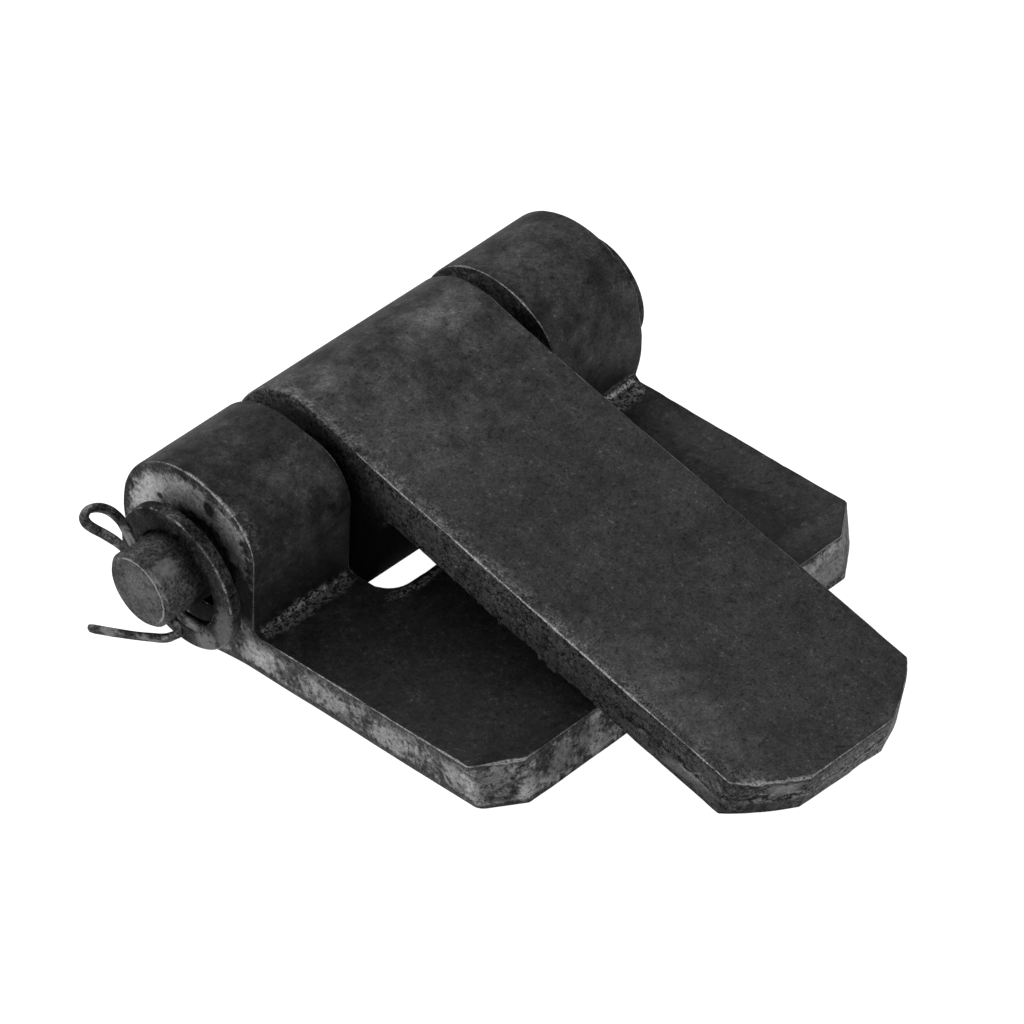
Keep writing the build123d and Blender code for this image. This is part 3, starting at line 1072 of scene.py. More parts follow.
class Signal:
    """A number, colour or direction on its way from one shader node to another."""

    def __init__(self, maker: NodeMaker, socket: bpy.types.NodeSocket) -> None:
        """Wraps an output socket of a node of the maker's tree."""
        self.maker = maker
        self.socket = socket

    def math(self, operation: str, first: Value, second: Value = 0.0) -> Signal:
        """Adds a Math node and returns its result."""
        node = self.maker.node("ShaderNodeMath", {"operation": operation}, {0: first, 1: second})
        return Signal(self.maker, node.outputs[0])

    def __add__(self, other: Value) -> Signal:
        """Returns the sum."""
        return self.math("ADD", self, other)

    def __sub__(self, other: Value) -> Signal:
        """Returns the difference."""
        return self.math("SUBTRACT", self, other)

    def __rsub__(self, other: Value) -> Signal:
        """Returns the difference the other way round."""
        return self.math("SUBTRACT", other, self)

    def __mul__(self, other: Value) -> Signal:
        """Returns the product."""
        return self.math("MULTIPLY", self, other)

    def __truediv__(self, other: Value) -> Signal:
        """Returns the quotient."""
        return self.math("DIVIDE", self, other)

    __radd__ = __add__
    __rmul__ = __mul__

    def most(self, other: Value) -> Signal:
        """Returns the larger of the two."""
        return self.math("MAXIMUM", self, other)

    def rise(self, low: float, high: float) -> Signal:
        """Returns 0 at low, 1 at high and a smooth step between, also where low is the larger."""
        turned = low > high
        ends = {
            "From Min": min(low, high), "From Max": max(low, high),
            "To Min": float(turned), "To Max": float(not turned),
        }
        node = self.maker.node("ShaderNodeMapRange", {"interpolation_type": "SMOOTHSTEP"}, {"Value": self, **ends})
        return Signal(self.maker, node.outputs[0])


Value = Signal | float


@dataclass(frozen=True)
class Spot:
    """A place where a finish is worn, dark or lighter, or where shade or light is painted, as an ellipsoid along the
    frame's axes.

    Its rim is as soft as a share of its reach, and ragged by noise.
    """

    place: Place
    reach: Place
    ragged: float = 0.5
    soft: float = 0.35
    strength: float = 1.0


class NodeMaker:
    """Makes the node tree of one material, with places in millimetres."""

    gloss = 0.14
    gloss_tint = 0.45
    # Tone of the black that is painted as shade in hollows.
    hollow_shade_tone = 0.004

    def __init__(self, name: str) -> None:
        """Starts a material with its shader and its Object coordinates.

        Args:
            name: the material's name.
        """
        self.material = bpy.data.materials.new(name)
        self.material.use_nodes = True
        self.tree = self.material.node_tree
        self.shader = self.tree.nodes["Principled BSDF"]
        self.shader.inputs["Specular IOR Level"].default_value = self.gloss
        self.shader.inputs["Specular Tint"].default_value = (*[self.gloss_tint] * 3, 1.0)
        metres = Signal(self, self.node("ShaderNodeTexCoord", {}, {}).outputs["Object"])
        self.place = self.vector("SCALE", {0: metres, "Scale": 1.0 / MM})

    def node(self, kind: str, settings: dict, values: dict) -> bpy.types.Node:
        """Adds a node.

        Args:
            kind: the node's type.
            settings: what is set on the node itself, and a ramp's stops, first.
            values: what its sockets get, by name or number: a link or a plain value.

        Returns:
            The node.
        """
        node = self.tree.nodes.new(kind)
        for name, value in settings.items():
            setattr(node, name, value)
        for name, value in values.items():
            if isinstance(value, Signal):
                self.tree.links.new(value.socket, node.inputs[name])
            else:
                node.inputs[name].default_value = value
        return node

    def vector(self, operation: str, values: dict) -> Signal:
        """Adds a Vector Math node and returns its direction."""
        return Signal(self, self.node("ShaderNodeVectorMath", {"operation": operation}, values).outputs["Vector"])

    def axes(self) -> tuple[Signal, Signal, Signal]:
        """Returns the place along x, y and z."""
        split = self.node("ShaderNodeSeparateXYZ", {}, {0: self.place})
        return tuple(Signal(self, output) for output in split.outputs)

    def noise(self, size: float, detail: float, rough: float, shift: float = 0.0,
              stretch: Place = (1.0, 1.0, 1.0), turn: Place = (0.0, 0.0, 0.0)) -> Signal:
        """Fractal noise, mostly from 0.2 to 0.8.

        Args:
            size: width of its blobs.
            detail: how many finer layers it has.
            rough: how strong the finer layers are.
            shift: how far it is slid, so that two noises differ.
            stretch: how many times longer its blobs are along each axis.
            turn: angles that the place is turned by first.

        Returns:
            The noise.
        """
        slid = {"Vector": self.place, "Rotation": turn, "Location": (shift, shift * 0.7, -shift)}
        turned = Signal(self, self.node("ShaderNodeMapping", {"vector_type": "POINT"}, slid).outputs[0])
        scaled = self.vector("MULTIPLY", {0: turned, 1: tuple(1.0 / value for value in stretch)})
        layers = {"Vector": scaled, "Scale": 1.0 / size, "Detail": detail, "Roughness": rough}
        return Signal(self, self.node("ShaderNodeTexNoise", {}, layers).outputs[0])

    def number(self, name: str) -> Signal:
        """Returns a number that the piece's mesh carries at each corner."""
        return Signal(self, self.node("ShaderNodeAttribute", {"attribute_name": name}, {}).outputs["Fac"])

    def spots(self, spots: tuple[Spot, ...], ragged: Signal) -> Signal:
        """Where any of some spots is.

        A spot's mask falls from its strength to 0 about where the distance
        from its middle, as a share of its reach, is 1, and noise pushes that
        rim in and out.

        Args:
            spots: one spot or more.
            ragged: the noise.

        Returns:
            The largest of their masks.
        """
        total = None
        for spot in spots:
            share = self.vector("DIVIDE", {0: self.vector("SUBTRACT", {0: self.place, 1: spot.place}), 1: spot.reach})
            length = self.node("ShaderNodeVectorMath", {"operation": "LENGTH"}, {0: share}).outputs["Value"]
            pushed = Signal(self, length) + (ragged - 0.5) * (4.0 * spot.ragged)
            mask = pushed.rise(1.0 + spot.soft, 1.0 - spot.soft) * spot.strength
            total = mask if total is None else total.most(mask)
        return total

    def blend(self, share: Value, start: Value, stop: Value) -> Signal:
        """Goes from the start to the stop by the share."""
        return (stop - start) * share + start

    def finish(self, tone: Signal, metal: Signal, rough: Signal, height: Signal, depth: float,
               hollow_shade: Signal | None = None) -> bpy.types.Material:
        """Joins the finish to the shader.

        Args:
            tone: how light the surface is; its colour is that grey, a hair towards blue.
            metal: how metallic.
            rough: roughness.
            height: height over the surface, where 1 is the depth.
            depth: the height of 1, in millimetres.
            hollow_shade: where a black shader without gloss is mixed in, as painted shade in a hollow.

        Returns:
            The material.
        """
        grey = self.node("ShaderNodeCombineColor", {}, {"Red": tone, "Green": tone, "Blue": tone * 1.01})
        bump = self.node("ShaderNodeBump", {}, {"Distance": depth * MM, "Height": height})
        feeds = {
            "Base Color": grey.outputs[0], "Metallic": metal.socket,
            "Roughness": rough.socket, "Normal": bump.outputs[0],
        }
        for name, socket in feeds.items():
            self.tree.links.new(socket, self.shader.inputs[name])
        # Painted shade: a black shader without gloss, mixed in by the hollow's mask.
        if hollow_shade is not None:
            painted_shade = {"Base Color": (*[self.hollow_shade_tone] * 3, 1.0), "Roughness": 1.0, "Specular IOR Level": 0.0}
            dust = Signal(self, self.node("ShaderNodeBsdfPrincipled", {}, painted_shade).outputs[0])
            steel = Signal(self, self.shader.outputs[0])
            both = self.node("ShaderNodeMixShader", {}, {0: hollow_shade, 1: steel, 2: dust})
            self.tree.links.new(both.outputs[0], self.tree.nodes["Material Output"].inputs["Surface"])
        return self.material


class ScaleGround:
    """What a scale finish is mixed from at each point: the mesh's numbers, the place, and noises."""

    def __init__(self, maker: NodeMaker) -> None:
        """Adds the nodes that the whole finish shares.

        Args:
            maker: the material's node maker.
        """
        self.edge, self.cut, self.deep = (maker.number(name) for name in ("edge", "cut", "deep"))
        self.x, self.y, self.z = maker.axes()
        self.sheared = self.cut.rise(0.45, 0.55) * self.cut.rise(1.55, 1.45)
        self.slow = maker.noise(13.0, 3.0, 0.55, 3.0)
        self.rubbed = maker.noise(7.5, 4.0, 0.6, 23.0)
        self.mottle = maker.noise(4.2, 4.0, 0.65, 11.0)
        self.ragged = maker.noise(2.4, 4.0, 0.7, 5.0)
        self.blots = maker.noise(1.6, 4.0, 0.72, 61.0)
        self.dust = maker.noise(0.8, 3.0, 0.75, 7.0)
        self.fine = maker.noise(0.34, 2.0, 0.7)
        self.grit = (self.fine * 0.5 + self.dust * 0.5).rise(0.40, 0.60) - 0.5


@dataclass(frozen=True)
class ScaleSteel:
    """Dark hot-rolled scale, mottled and speckled, worn to bare steel on sheared faces and along edges.

    Attributes:
        name: the material's name.
        tone: how light the scale is.
        bare_tone: how light bare steel is.
        bare_level: how much of the sheared faces is bare; more is more.
        side_lift: how much lighter the scale is low on a sheared face.
        halo: how rubbed a rolled face is beside its near edge.
        flecks: how bright the flecks are.
        line_width: how wide the bright line along an edge can be.
        line_tone: how light that line is.
        line_deep: how deep below the outer face the line still shows.
        line_low: how low in the frame it still shows.
        side_grit: how gritty a sheared face is.
        crown: the height above which the scale is blotchier.
        crack: how dark the crack along a sheared face is.
        bright: spots that are worn bare.
        dark: spots where scale is left on bare steel; one, behind the washer's rim on the near end, is painted shade.
        painted_shade: spots of painted shade, darkened up to nearly black, in the bores, the throat, round the
            washer, on side faces and at the free ends.
        pale: spots where the scale is lighter, partly for its own mottle and partly as painted light on the eyes'
            tops and their sides toward the free ends.
        hollow_shade: spots painted black without gloss as shade deep in the hollow, on the inner layers alone.
        line_wide: spots where the bright line is wider.
        line_off: spots where it is missing.
    """

    name: str
    tone: float
    bare_tone: float
    bare_level: float
    side_lift: float
    halo: float
    flecks: float
    line_width: float
    line_tone: float
    line_deep: float
    line_low: float
    side_grit: float = 0.6
    crown: float = 12.0
    crack: float = 0.0
    bright: tuple[Spot, ...] = ()
    dark: tuple[Spot, ...] = ()
    painted_shade: tuple[Spot, ...] = ()
    pale: tuple[Spot, ...] = ()
    hollow_shade: tuple[Spot, ...] = ()
    line_wide: tuple[Spot, ...] = ()
    line_off: tuple[Spot, ...] = ()

    def scale(self, m: NodeMaker, g: ScaleGround) -> Signal:
        """The scale's tone.

        Three noises of falling size give its mottle, a speckle multiplies it,
        pits darken it, its crown is blotchier, and flecks are added.  A
        sheared face is lifted low down and gritty.

        Args:
            m: the material's node maker.
            g: what the finish is mixed from.

        Returns:
            The tone.
        """
        mottled = g.slow.rise(0.3, 0.7) * 0.22 + g.mottle.rise(0.3, 0.72) * 0.30 + g.blots.rise(0.34, 0.66) * 0.28
        tone = self.tone * (0.62 + mottled)
        # Painted light, in part: these spots lift the tone where the eyes' tops and sides catch light, and elsewhere
        # mark lighter scale.
        if self.pale:
            tone = tone * (1.0 + m.spots(self.pale, g.ragged) * 0.9)
        tone = tone * (g.fine * 2.0) * (1.0 - g.dust.rise(0.44, 0.34) * 0.5)
        blotches = (g.mottle * 0.6 + g.ragged * 0.4).rise(0.36, 0.62) - 0.38
        tone = tone * (1.0 + g.z.rise(self.crown, self.crown + 9.0) * blotches * 0.75)
        flecks = g.dust.rise(0.60, 0.68) * g.mottle.rise(0.44, 0.60) * 1.1
        flecks = (flecks + g.fine.rise(0.66, 0.74) * g.blots.rise(0.48, 0.6) * 2.2) * self.flecks
        if self.halo:
            rubbed = g.fine.rise(0.42, 0.62) * 1.3 + g.dust.rise(0.45, 0.6) * 0.8
            beside = g.edge.rise(3.4, 0.0) * (1.0 - g.sheared) * g.y.rise(-9.0, -14.0)
            flecks = flecks + beside * rubbed * g.ragged.rise(0.36, 0.6) * self.halo
        lift = g.sheared * g.z.rise(19.0, 12.0) * self.side_lift
        return (tone + flecks * self.tone) * (1.0 + lift) * (g.sheared * g.grit * self.side_grit + 1.0)

    def bare_share(self, m: NodeMaker, g: ScaleGround, worn: Signal) -> Signal:
        """Where steel is bare.

        Three noises pass a level on sheared faces, and so do the worn spots,
        which on a rolled face are only a speckle.  The strip beside the edge
        keeps its scale, and so do the dark spots.

        Args:
            m: the material's node maker.
            g: what the finish is mixed from.
            worn: where the worn spots are.

        Returns:
            The share of bare steel.
        """
        noise = g.rubbed + (g.ragged - 0.5) * 0.5 + (g.dust - 0.5) * 0.45 + self.bare_level
        speckle = (1.0 - g.sheared) * (g.dust * 0.5 + g.fine * 0.5).rise(0.44, 0.56)
        share = (noise.rise(0.40, 0.62) * g.sheared).most(worn * (g.sheared + speckle))
        rim = g.edge / (1.0 + g.z.rise(14.0, 20.0) * 1.2)
        share = share * (rim + (g.ragged - 0.5) * 2.6 + (g.dust - 0.5) * 1.4).rise(0.35, 1.3)
        # These spots keep scale; the one behind the washer's rim is painted shade.
        if self.dark:
            share = share * (1.0 - m.spots(self.dark, g.ragged))
        return share

    def bare(self, m: NodeMaker, g: ScaleGround, worn: Signal) -> Signal:
        """Bare steel's tone: speckled, brushed and blotched by noise, pitted, and lighter and evener in worn spots.

        Args:
            m: the material's node maker.
            g: what the finish is mixed from.
            worn: where the worn spots are.

        Returns:
            The tone.
        """
        brushed = m.noise(0.9, 3.0, 0.65, 31.0, stretch=(0.4, 0.7, 2.6))
        tone = self.bare_tone * (0.10 + g.fine * 0.62 + g.rubbed * 0.42 + brushed * 0.5 + (g.blots - 0.5) * 0.9)
        tone = tone * (1.0 - g.dust.rise(0.45, 0.34) * 0.6) * (1.0 + worn * 0.7)
        return m.blend(worn * 0.4, tone, self.bare_tone * 1.18) * (1.0 + g.grit * 0.35)

    def cracked(self, g: ScaleGround, tone: Signal) -> Signal:
        """Draws the crack that shearing leaves near a bar's end.

        It runs where the depth below the outer face, made wavy by noise, is
        half the bar, and is broken by another noise, with a lighter lip.

        Args:
            g: what the finish is mixed from.
            tone: the tone without it.

        Returns:
            The tone with it.
        """
        wave = g.deep + (g.ragged - 0.5) * 5.0 + (g.mottle - 0.5) * 4.0
        gap = wave.math("ABSOLUTE", wave - 4.4) + (g.dust - 0.5) * 0.5
        crack = gap.rise(0.42, 0.12) * g.ragged.rise(0.38, 0.5) * g.sheared * g.x.rise(16.0, 30.0)
        lip = gap.rise(0.4, 0.75) * gap.rise(1.3, 0.8) * g.ragged.rise(0.42, 0.58) * g.sheared * g.x.rise(22.0, 34.0)
        return tone * (1.0 - crack * self.crack) * (1.0 + lip * 1.1)

    def edge_line(self, m: NodeMaker, g: ScaleGround) -> Signal:
        """Where the bright line along an edge is.

        It is as wide as one noise says, broken where the speckle is low, and
        ends below a depth, below a height and in the bore.

        Args:
            m: the material's node maker.
            g: what the finish is mixed from.

        Returns:
            The line's mask.
        """
        width = m.noise(5.5, 4.0, 0.7, 41.0).rise(0.38, 0.70) * self.line_width + 0.05
        if self.line_wide:
            width = width + m.spots(self.line_wide, g.ragged) * 0.24 * g.ragged.rise(0.35, 0.6)
        line = ((g.edge + (g.dust - 0.5) * 0.5 + (g.fine - 0.5) * 0.4) / width).rise(1.5, 0.4)
        line = line * g.deep.rise(self.line_deep + 0.6, self.line_deep - 0.6) * g.cut.rise(1.6, 1.4)
        line = line * g.z.rise(self.line_low - 0.5, self.line_low + 0.5) * (0.2 + g.fine.rise(0.34, 0.58) * 0.8)
        if self.line_off:
            line = line * (1.0 - m.spots(self.line_off, g.ragged))
        return line

    def make(self) -> bpy.types.Material:
        """Makes the material: scale, bare steel by its share, the crack, the spots of painted shade, then the edge's
        line, and black painted shade in the hollow.

        Returns:
            The material.
        """
        m = NodeMaker(self.name)
        g = ScaleGround(m)
        worn = m.spots(self.bright, g.ragged + (g.dust - 0.5) * 0.5)
        share = self.bare_share(m, g, worn)
        tone = m.blend(share, self.scale(m, g), self.bare(m, g, worn))
        if self.crack:
            tone = self.cracked(g, tone)
        # Painted shade: these spots darken the tone, up to nearly black.
        if self.painted_shade:
            tone = tone * (1.0 - m.spots(self.painted_shade, g.ragged) * 0.93)
        line = self.edge_line(m, g)
        tone = m.blend(line * 0.85, tone, self.line_tone)
        metal = 0.55 + share * 0.4 + line * 0.35
        rough = 0.58 - share * 0.10 - line * 0.14 + (g.fine - 0.5) * 0.3
        height = g.blots * 0.75 + g.dust * 0.6 + g.fine * 0.42
        # Painted shade: black without gloss in the throat's hollow, deep in the roll's inner layers.
        hollow_shade = None
        if self.hollow_shade:
            hollow_shade = m.spots(self.hollow_shade, g.ragged) * (g.deep + (g.ragged - 0.5) * 3.0).rise(5.0, 8.0)
        return m.finish(tone, metal, rough, height, 0.11, hollow_shade)


@dataclass(frozen=True)
class PinSteel:
    """Dark drawn steel, with a ground end, a bright, knocked rim round it that is partly a painted highlight, and
    painted shade where it goes into the washer.
    """

    name: str
    tone: float
    end_y: float
    axis: tuple[float, float]
    end_r: float
    worn: tuple[Spot, ...]

    def make(self) -> bpy.types.Material:
        """Makes the material.

        The end's streaks run slantwise, the rim's line is a ring of distance
        from the axis, kept to the side toward +x and up as a painted highlight, and the
        shank is mottled, speckled and darkened within the washer as painted shade.

        Returns:
            The material.
        """
        m = NodeMaker(self.name)
        x, y, z = m.axes()
        aside, above = x - self.axis[0], z - self.axis[1]
        square = aside * aside + above * above
        radius = square.math("SQRT", square)
        fine, mottle, ragged = m.noise(0.4, 2.0, 0.6), m.noise(3.4, 4.0, 0.62, 13.0), m.noise(1.3, 4.0, 0.66, 2.0)
        streak = m.noise(0.9, 3.0, 0.65, stretch=(0.45, 1.0, 1.8), turn=(0.0, 0.6, 0.0))
        at_end = y.rise(self.end_y + 0.25, self.end_y + 0.08)
        ground = at_end * (0.25 + aside.rise(-5.0, 2.0) * 0.75) * (streak.rise(0.38, 0.66) * 0.7 + 0.12)
        ground = ground * (ragged * 0.6 + mottle * 0.4).rise(0.34, 0.56)
        ground = ground * radius.rise(self.end_r - 0.1, self.end_r - 0.9)
        rim = (radius + (ragged - 0.5) * 0.35).rise(self.end_r - 0.22, self.end_r - 0.02)
        rim = rim * (radius + (ragged - 0.5) * 0.3).rise(self.end_r + 0.30, self.end_r + 0.08)
        rim = rim * y.rise(self.end_y + 0.6, self.end_y + 0.3) * m.noise(4.0, 2.0, 0.5, 9.0).rise(0.30, 0.48)
        # Painted highlight: the rim's line is kept to the side toward +x and up.
        rim = rim * (aside * 0.75 + above * 0.6).rise(-1.5, 2.0)
        scale = self.tone * (0.35 + mottle.rise(0.32, 0.66) * 0.9) * fine.rise(0.15, 0.85) * 2.0
        # Painted shade: the shank darkens into the washer.
        scale = scale * (1.0 - ragged.rise(0.42, 0.32) * 0.25) * (1.0 - y.rise(-44.0, -41.6) * 0.55)
        tone = m.blend(ground, scale, 0.135)
        tone = m.blend(m.spots(self.worn, ragged) * 0.8, tone, 0.21)
        tone = m.blend(rim * 0.7 * fine.rise(0.3, 0.5), tone, 0.30)
        metal = 0.6 + ground * 0.35
        rough = 0.55 + (fine - 0.5) * 0.25 - rim * 0.15
        height = streak * at_end * 0.5 + mottle * 0.4 + fine * 0.3
        return m.finish(tone, metal, rough, height, 0.07)


@dataclass(frozen=True)
class RingSteel:
    """Washer or wire: dark metal, rubbed bright along its edges and in places."""

    name: str
    tone: float
    bare_tone: float
    line_width: float
    rubbed_level: float
    bright: tuple[Spot, ...]
    painted_shade: tuple[Spot, ...] = ()

    def make(self) -> bpy.types.Material:
        """Makes the material: mottled and speckled, with an edge line and spots as wide as noise lets them.

        Returns:
            The material.
        """
        m = NodeMaker(self.name)
        edge = m.number("edge")
        fine, mottle, ragged = m.noise(0.36, 2.0, 0.6), m.noise(2.6, 4.0, 0.65, 17.0), m.noise(1.1, 4.0, 0.68, 4.0)
        scale = self.tone * (0.35 + mottle.rise(0.32, 0.66)) * fine.rise(0.22, 0.78) * 2.0
        rubbed = ((mottle + self.rubbed_level).rise(0.56, 0.68) * 0.55).most(m.spots(self.bright, ragged))
        tone = m.blend(rubbed, scale, self.bare_tone * (0.4 + fine * 1.2)) * (1.0 - ragged.rise(0.40, 0.32) * 0.6)
        # Painted shade: these spots darken the tone.
        if self.painted_shade:
            tone = tone * (1.0 - m.spots(self.painted_shade, ragged) * 0.85)
        width = m.noise(3.0, 3.0, 0.6, 29.0).rise(0.35, 0.62) * self.line_width + 0.02
        line = ((edge + (fine - 0.5) * 0.5 + (ragged - 0.5) * 0.35) / width).rise(1.4, 0.4)
        broken = 0.25 + m.noise(0.7, 2.0, 0.5, 37.0).rise(0.42, 0.56) * 0.75
        tone = m.blend(line * 0.6 * broken, tone, 0.30)
        metal = 0.65 + rubbed * 0.3
        rough = 0.52 + (fine - 0.5) * 0.25 - line * 0.12
        height = mottle * 0.5 + ragged * 0.4 + fine * 0.3
        return m.finish(tone, metal, rough, height, 0.06)


# ------------------------------------------------------------------ the hinge


FORK_FINISH = ScaleSteel(
    "fork_scale", tone=0.0195, bare_tone=0.255, bare_level=0.035, side_lift=1.2, halo=0.0, flecks=2.0,
    line_width=0.20, line_tone=0.30, line_deep=9.0, line_low=3.0,
    bright=(
        Spot((-48.0, -37.5, 24.0), (7.0, 2.0, 5.0), 0.30),
        Spot((-38.0, -37.5, 28.0), (5.0, 2.0, 2.6), 0.35, strength=0.8),
        Spot((19.9, 27.0, 3.6), (1.5, 4.5, 2.4), 0.4, strength=0.6),
        # Painted light: lifts the end face right of the washer, where the washer shades it.
        Spot((-29.2, -37.5, 24.0), (3.6, 2.0, 7.0), 0.4, strength=1.3),
        Spot((-27.0, -28.0, 8.2), (1.6, 12.0, 1.0), 0.5, strength=0.75),
        Spot((-26.6, 30.0, 8.6), (2.4, 12.0, 1.5), 0.3),
        Spot((-19.1, -14.5, 8.0), (1.3, 5.2, 0.9), 0.5, strength=0.75),
        Spot((14.6, -37.3, 4.6), (0.9, 1.0, 3.6), 0.4, 0.6, strength=0.7),
        Spot((-27.5, -37.6, 6.0), (3.0, 0.8, 3.2), 0.4, strength=0.8),
    ),
    dark=(
        Spot((-45.1, -37.5, 24.4), (0.6, 2.0, 0.5), 0.2),
        # Painted shade behind the washer's rim.
        Spot((-28.4, -37.5, 13.5), (4.0, 1.0, 4.4), 0.4),
        Spot((-34.2, -37.5, 27.4), (1.2, 1.0, 1.6), 0.4),
        Spot((17.6, -34.2, 1.6), (1.9, 2.2, 0.5), 0.3, strength=0.7),
        Spot((-8.0, -37.5, 7.0), (40.0, 1.0, 0.9), 0.5, strength=0.6),
        Spot((19.9, -24.0, 4.0), (1.5, 6.0, 3.0), 0.5, strength=0.4),
    ),
    # Painted shade in the bore, the throat's hollow, round and under the washer, and on the free end and crop.
    painted_shade=(
        Spot((-38.2, -37.8, 15.2), (9.2, 1.8, 9.2), 0.2, 0.2),
        Spot((-38.4, -10.0, 16.0), (8.4, 300.0, 8.4), 0.1, 0.1),
        Spot((-34.0, 0.0, 10.0), (14.0, 20.3, 13.0), 0.05, 0.06, strength=0.9),
        Spot((18.5, 0.0, 3.5), (3.4, 42.0, 6.0), 0.4, 0.3, 0.38),
        Spot((-39.5, -37.6, 6.5), (4.5, 1.2, 3.4), 0.2, 0.2),
        Spot((17.5, -34.5, 4.0), (3.2, 3.2, 5.0), 0.4, 0.4, 0.53),
        Spot((-29.5, -37.6, 15.0), (3.0, 1.0, 6.0), 0.4, strength=0.7),
    ),
    # Partly lighter scale, partly painted light on the eyes' tops and their sides toward the free end.
    pale=(
        Spot((-46.0, -29.0, 27.0), (9.0, 9.0, 8.0), 0.7, 0.6),
        Spot((-30.0, -26.0, 27.0), (6.0, 8.0, 6.0), 0.7, 0.6),
        Spot((-25.0, -26.0, 17.0), (5.0, 12.0, 9.0), 0.6, 0.6),
        Spot((-4.0, 34.0, 8.0), (24.0, 3.6, 2.0), 0.5, 0.5),
        Spot((17.0, 31.0, 8.0), (3.0, 8.0, 2.0), 0.5, 0.5),
        Spot((-40.0, 29.0, 31.0), (12.0, 10.0, 6.0), 0.7, 0.6),
        Spot((-26.0, 29.0, 20.0), (7.0, 11.0, 10.0), 0.6, 0.6, 1.3),
        Spot((-28.0, 0.0, 20.0), (9.0, 50.0, 12.0), 0.2, 0.5, strength=0.5),
    ),
    line_wide=(
        Spot((-34.5, -37.3, 30.0), (5.5, 2.0, 4.0), 0.3),
        Spot((-29.0, -37.3, 27.0), (3.0, 2.0, 4.5), 0.3, strength=1.8),
        Spot((18.4, -32.5, 8.0), (1.8, 2.6, 1.5), 0.3),
    ),
    line_off=(
        Spot((-50.0, -37.5, 22.0), (9.0, 3.0, 9.0), 0.3),
        Spot((-27.0, -37.5, 14.0), (4.0, 2.0, 8.0), 0.3, strength=0.8),
        Spot((-38.0, 0.0, 15.0), (18.0, 20.3, 18.5), 0.1, strength=0.8),
    ),
)
STRAP_FINISH = ScaleSteel(
    "strap_scale", tone=0.0388, bare_tone=0.100, bare_level=-0.04, side_lift=-0.25, halo=1.8, flecks=1.4,
    line_width=0.22, line_tone=0.32, line_deep=4.0, line_low=-5.0, side_grit=1.5, crown=24.0, crack=0.85,
    bright=(
        Spot((49.9, -11.4, 6.4), (1.8, 2.4, 1.6), 0.35),
        Spot((36.6, -17.8, 6.2), (4.0, 1.0, 1.2), 0.45),
        Spot((30.0, -17.6, 12.5), (16.0, 0.8, 0.7), 0.5, strength=0.45),
        Spot((50.0, -15.0, 3.6), (2.6, 3.0, 1.0), 0.5, strength=0.5),
    ),
    dark=(Spot((51.5, -2.0, 2.4), (2.0, 14.0, 1.2), 0.4),),
    # Painted shade on the eye's near end and tail, in the bore, on the near side face and low at the tip.
    painted_shade=(
        Spot((-34.0, -17.0, 10.0), (17.0, 3.0, 17.0), 0.25, 0.35),
        Spot((-38.4, 0.0, 16.0), (8.4, 300.0, 8.4), 0.1, 0.1),
        Spot((38.0, -17.8, 9.0), (16.0, 1.2, 10.0), 0.3, 0.6, 0.35),
        Spot((48.0, -14.0, 2.2), (6.0, 6.0, 1.6), 0.4, strength=0.5),
    ),
    # Partly lighter scale, partly painted light on the eye's top.
    pale=(
        Spot((-37.0, 9.0, 32.0), (5.0, 5.0, 3.0), 0.7, 0.7),
        Spot((50.5, 5.0, 3.2), (3.5, 12.0, 4.4), 0.3, 0.3, 1.6),
        Spot((-22.0, -8.0, 28.0), (7.0, 5.0, 3.0), 0.8, 0.7, 0.5),
        Spot((33.0, -13.0, 13.0), (14.0, 3.5, 6.0), 0.7, 0.8, 0.7),
        Spot((-40.0, -13.0, 31.0), (6.0, 4.0, 3.0), 0.8, 0.7, 0.6),
    ),
    # Painted shade: black on the strap's inner layers in the throat's hollow.
    hollow_shade=(Spot((-26.0, 0.0, 8.5), (10.5, 60.0, 11.5), 0.2, 0.35, 0.9),),
    line_wide=(
        Spot((49.5, -12.0, 9.0), (4.5, 6.5, 3.0), 0.3, strength=1.8),
        Spot((18.0, -17.0, 16.0), (16.0, 2.0, 5.0), 0.4, strength=0.7),
        Spot((-1.0, -17.0, 23.0), (6.0, 2.0, 3.0), 0.4, strength=0.9),
    ),
    line_off=(Spot((-40.0, -17.0, 30.0), (15.0, 3.0, 6.0), 0.4),),
)
PIN_FINISH = PinSteel(
    "pin_ground", tone=0.072, end_y=-48.0, axis=(-39.3057, 16.7873), end_r=5.25,
    worn=(Spot((-35.4, -45.6, 21.0), (1.2, 2.0, 1.1), 0.8, 0.7),),
)
WASHER_FINISH = RingSteel(
    "washer_scale", tone=0.034, bare_tone=0.15, line_width=0.22, rubbed_level=-0.03,
    bright=(
        Spot((-33.8, -41.8, 6.8), (2.2, 1.5, 2.4), 0.4),
        Spot((-29.5, -41.8, 11.0), (2.0, 1.5, 4.0), 0.5, strength=0.5),
    ),
    # Painted shade on the washer's upper part and round its hole.
    painted_shade=(
        Spot((-41.0, -41.8, 22.0), (9.0, 2.0, 5.0), 0.5, strength=0.55),
        Spot((-38.5, -41.0, 15.5), (8.9, 3.0, 8.9), 0.2, 0.1),
    ),
)
WIRE_FINISH = RingSteel(
    "split_wire", tone=0.045, bare_tone=0.24, line_width=0.02, rubbed_level=0.05,
    bright=(Spot((-44.0, -45.2, 21.5), (1.8, 1.3, 1.8), 0.6, 0.5),),
)


@dataclass(frozen=True)
class Crew:
    """One piece: its shape, its finish, and the body, node and slot that it stands for."""

    shape: Leaf | Washer | SplitPin
    finish: ScaleSteel | RingSteel
    body: str
    node: str
    slot: str


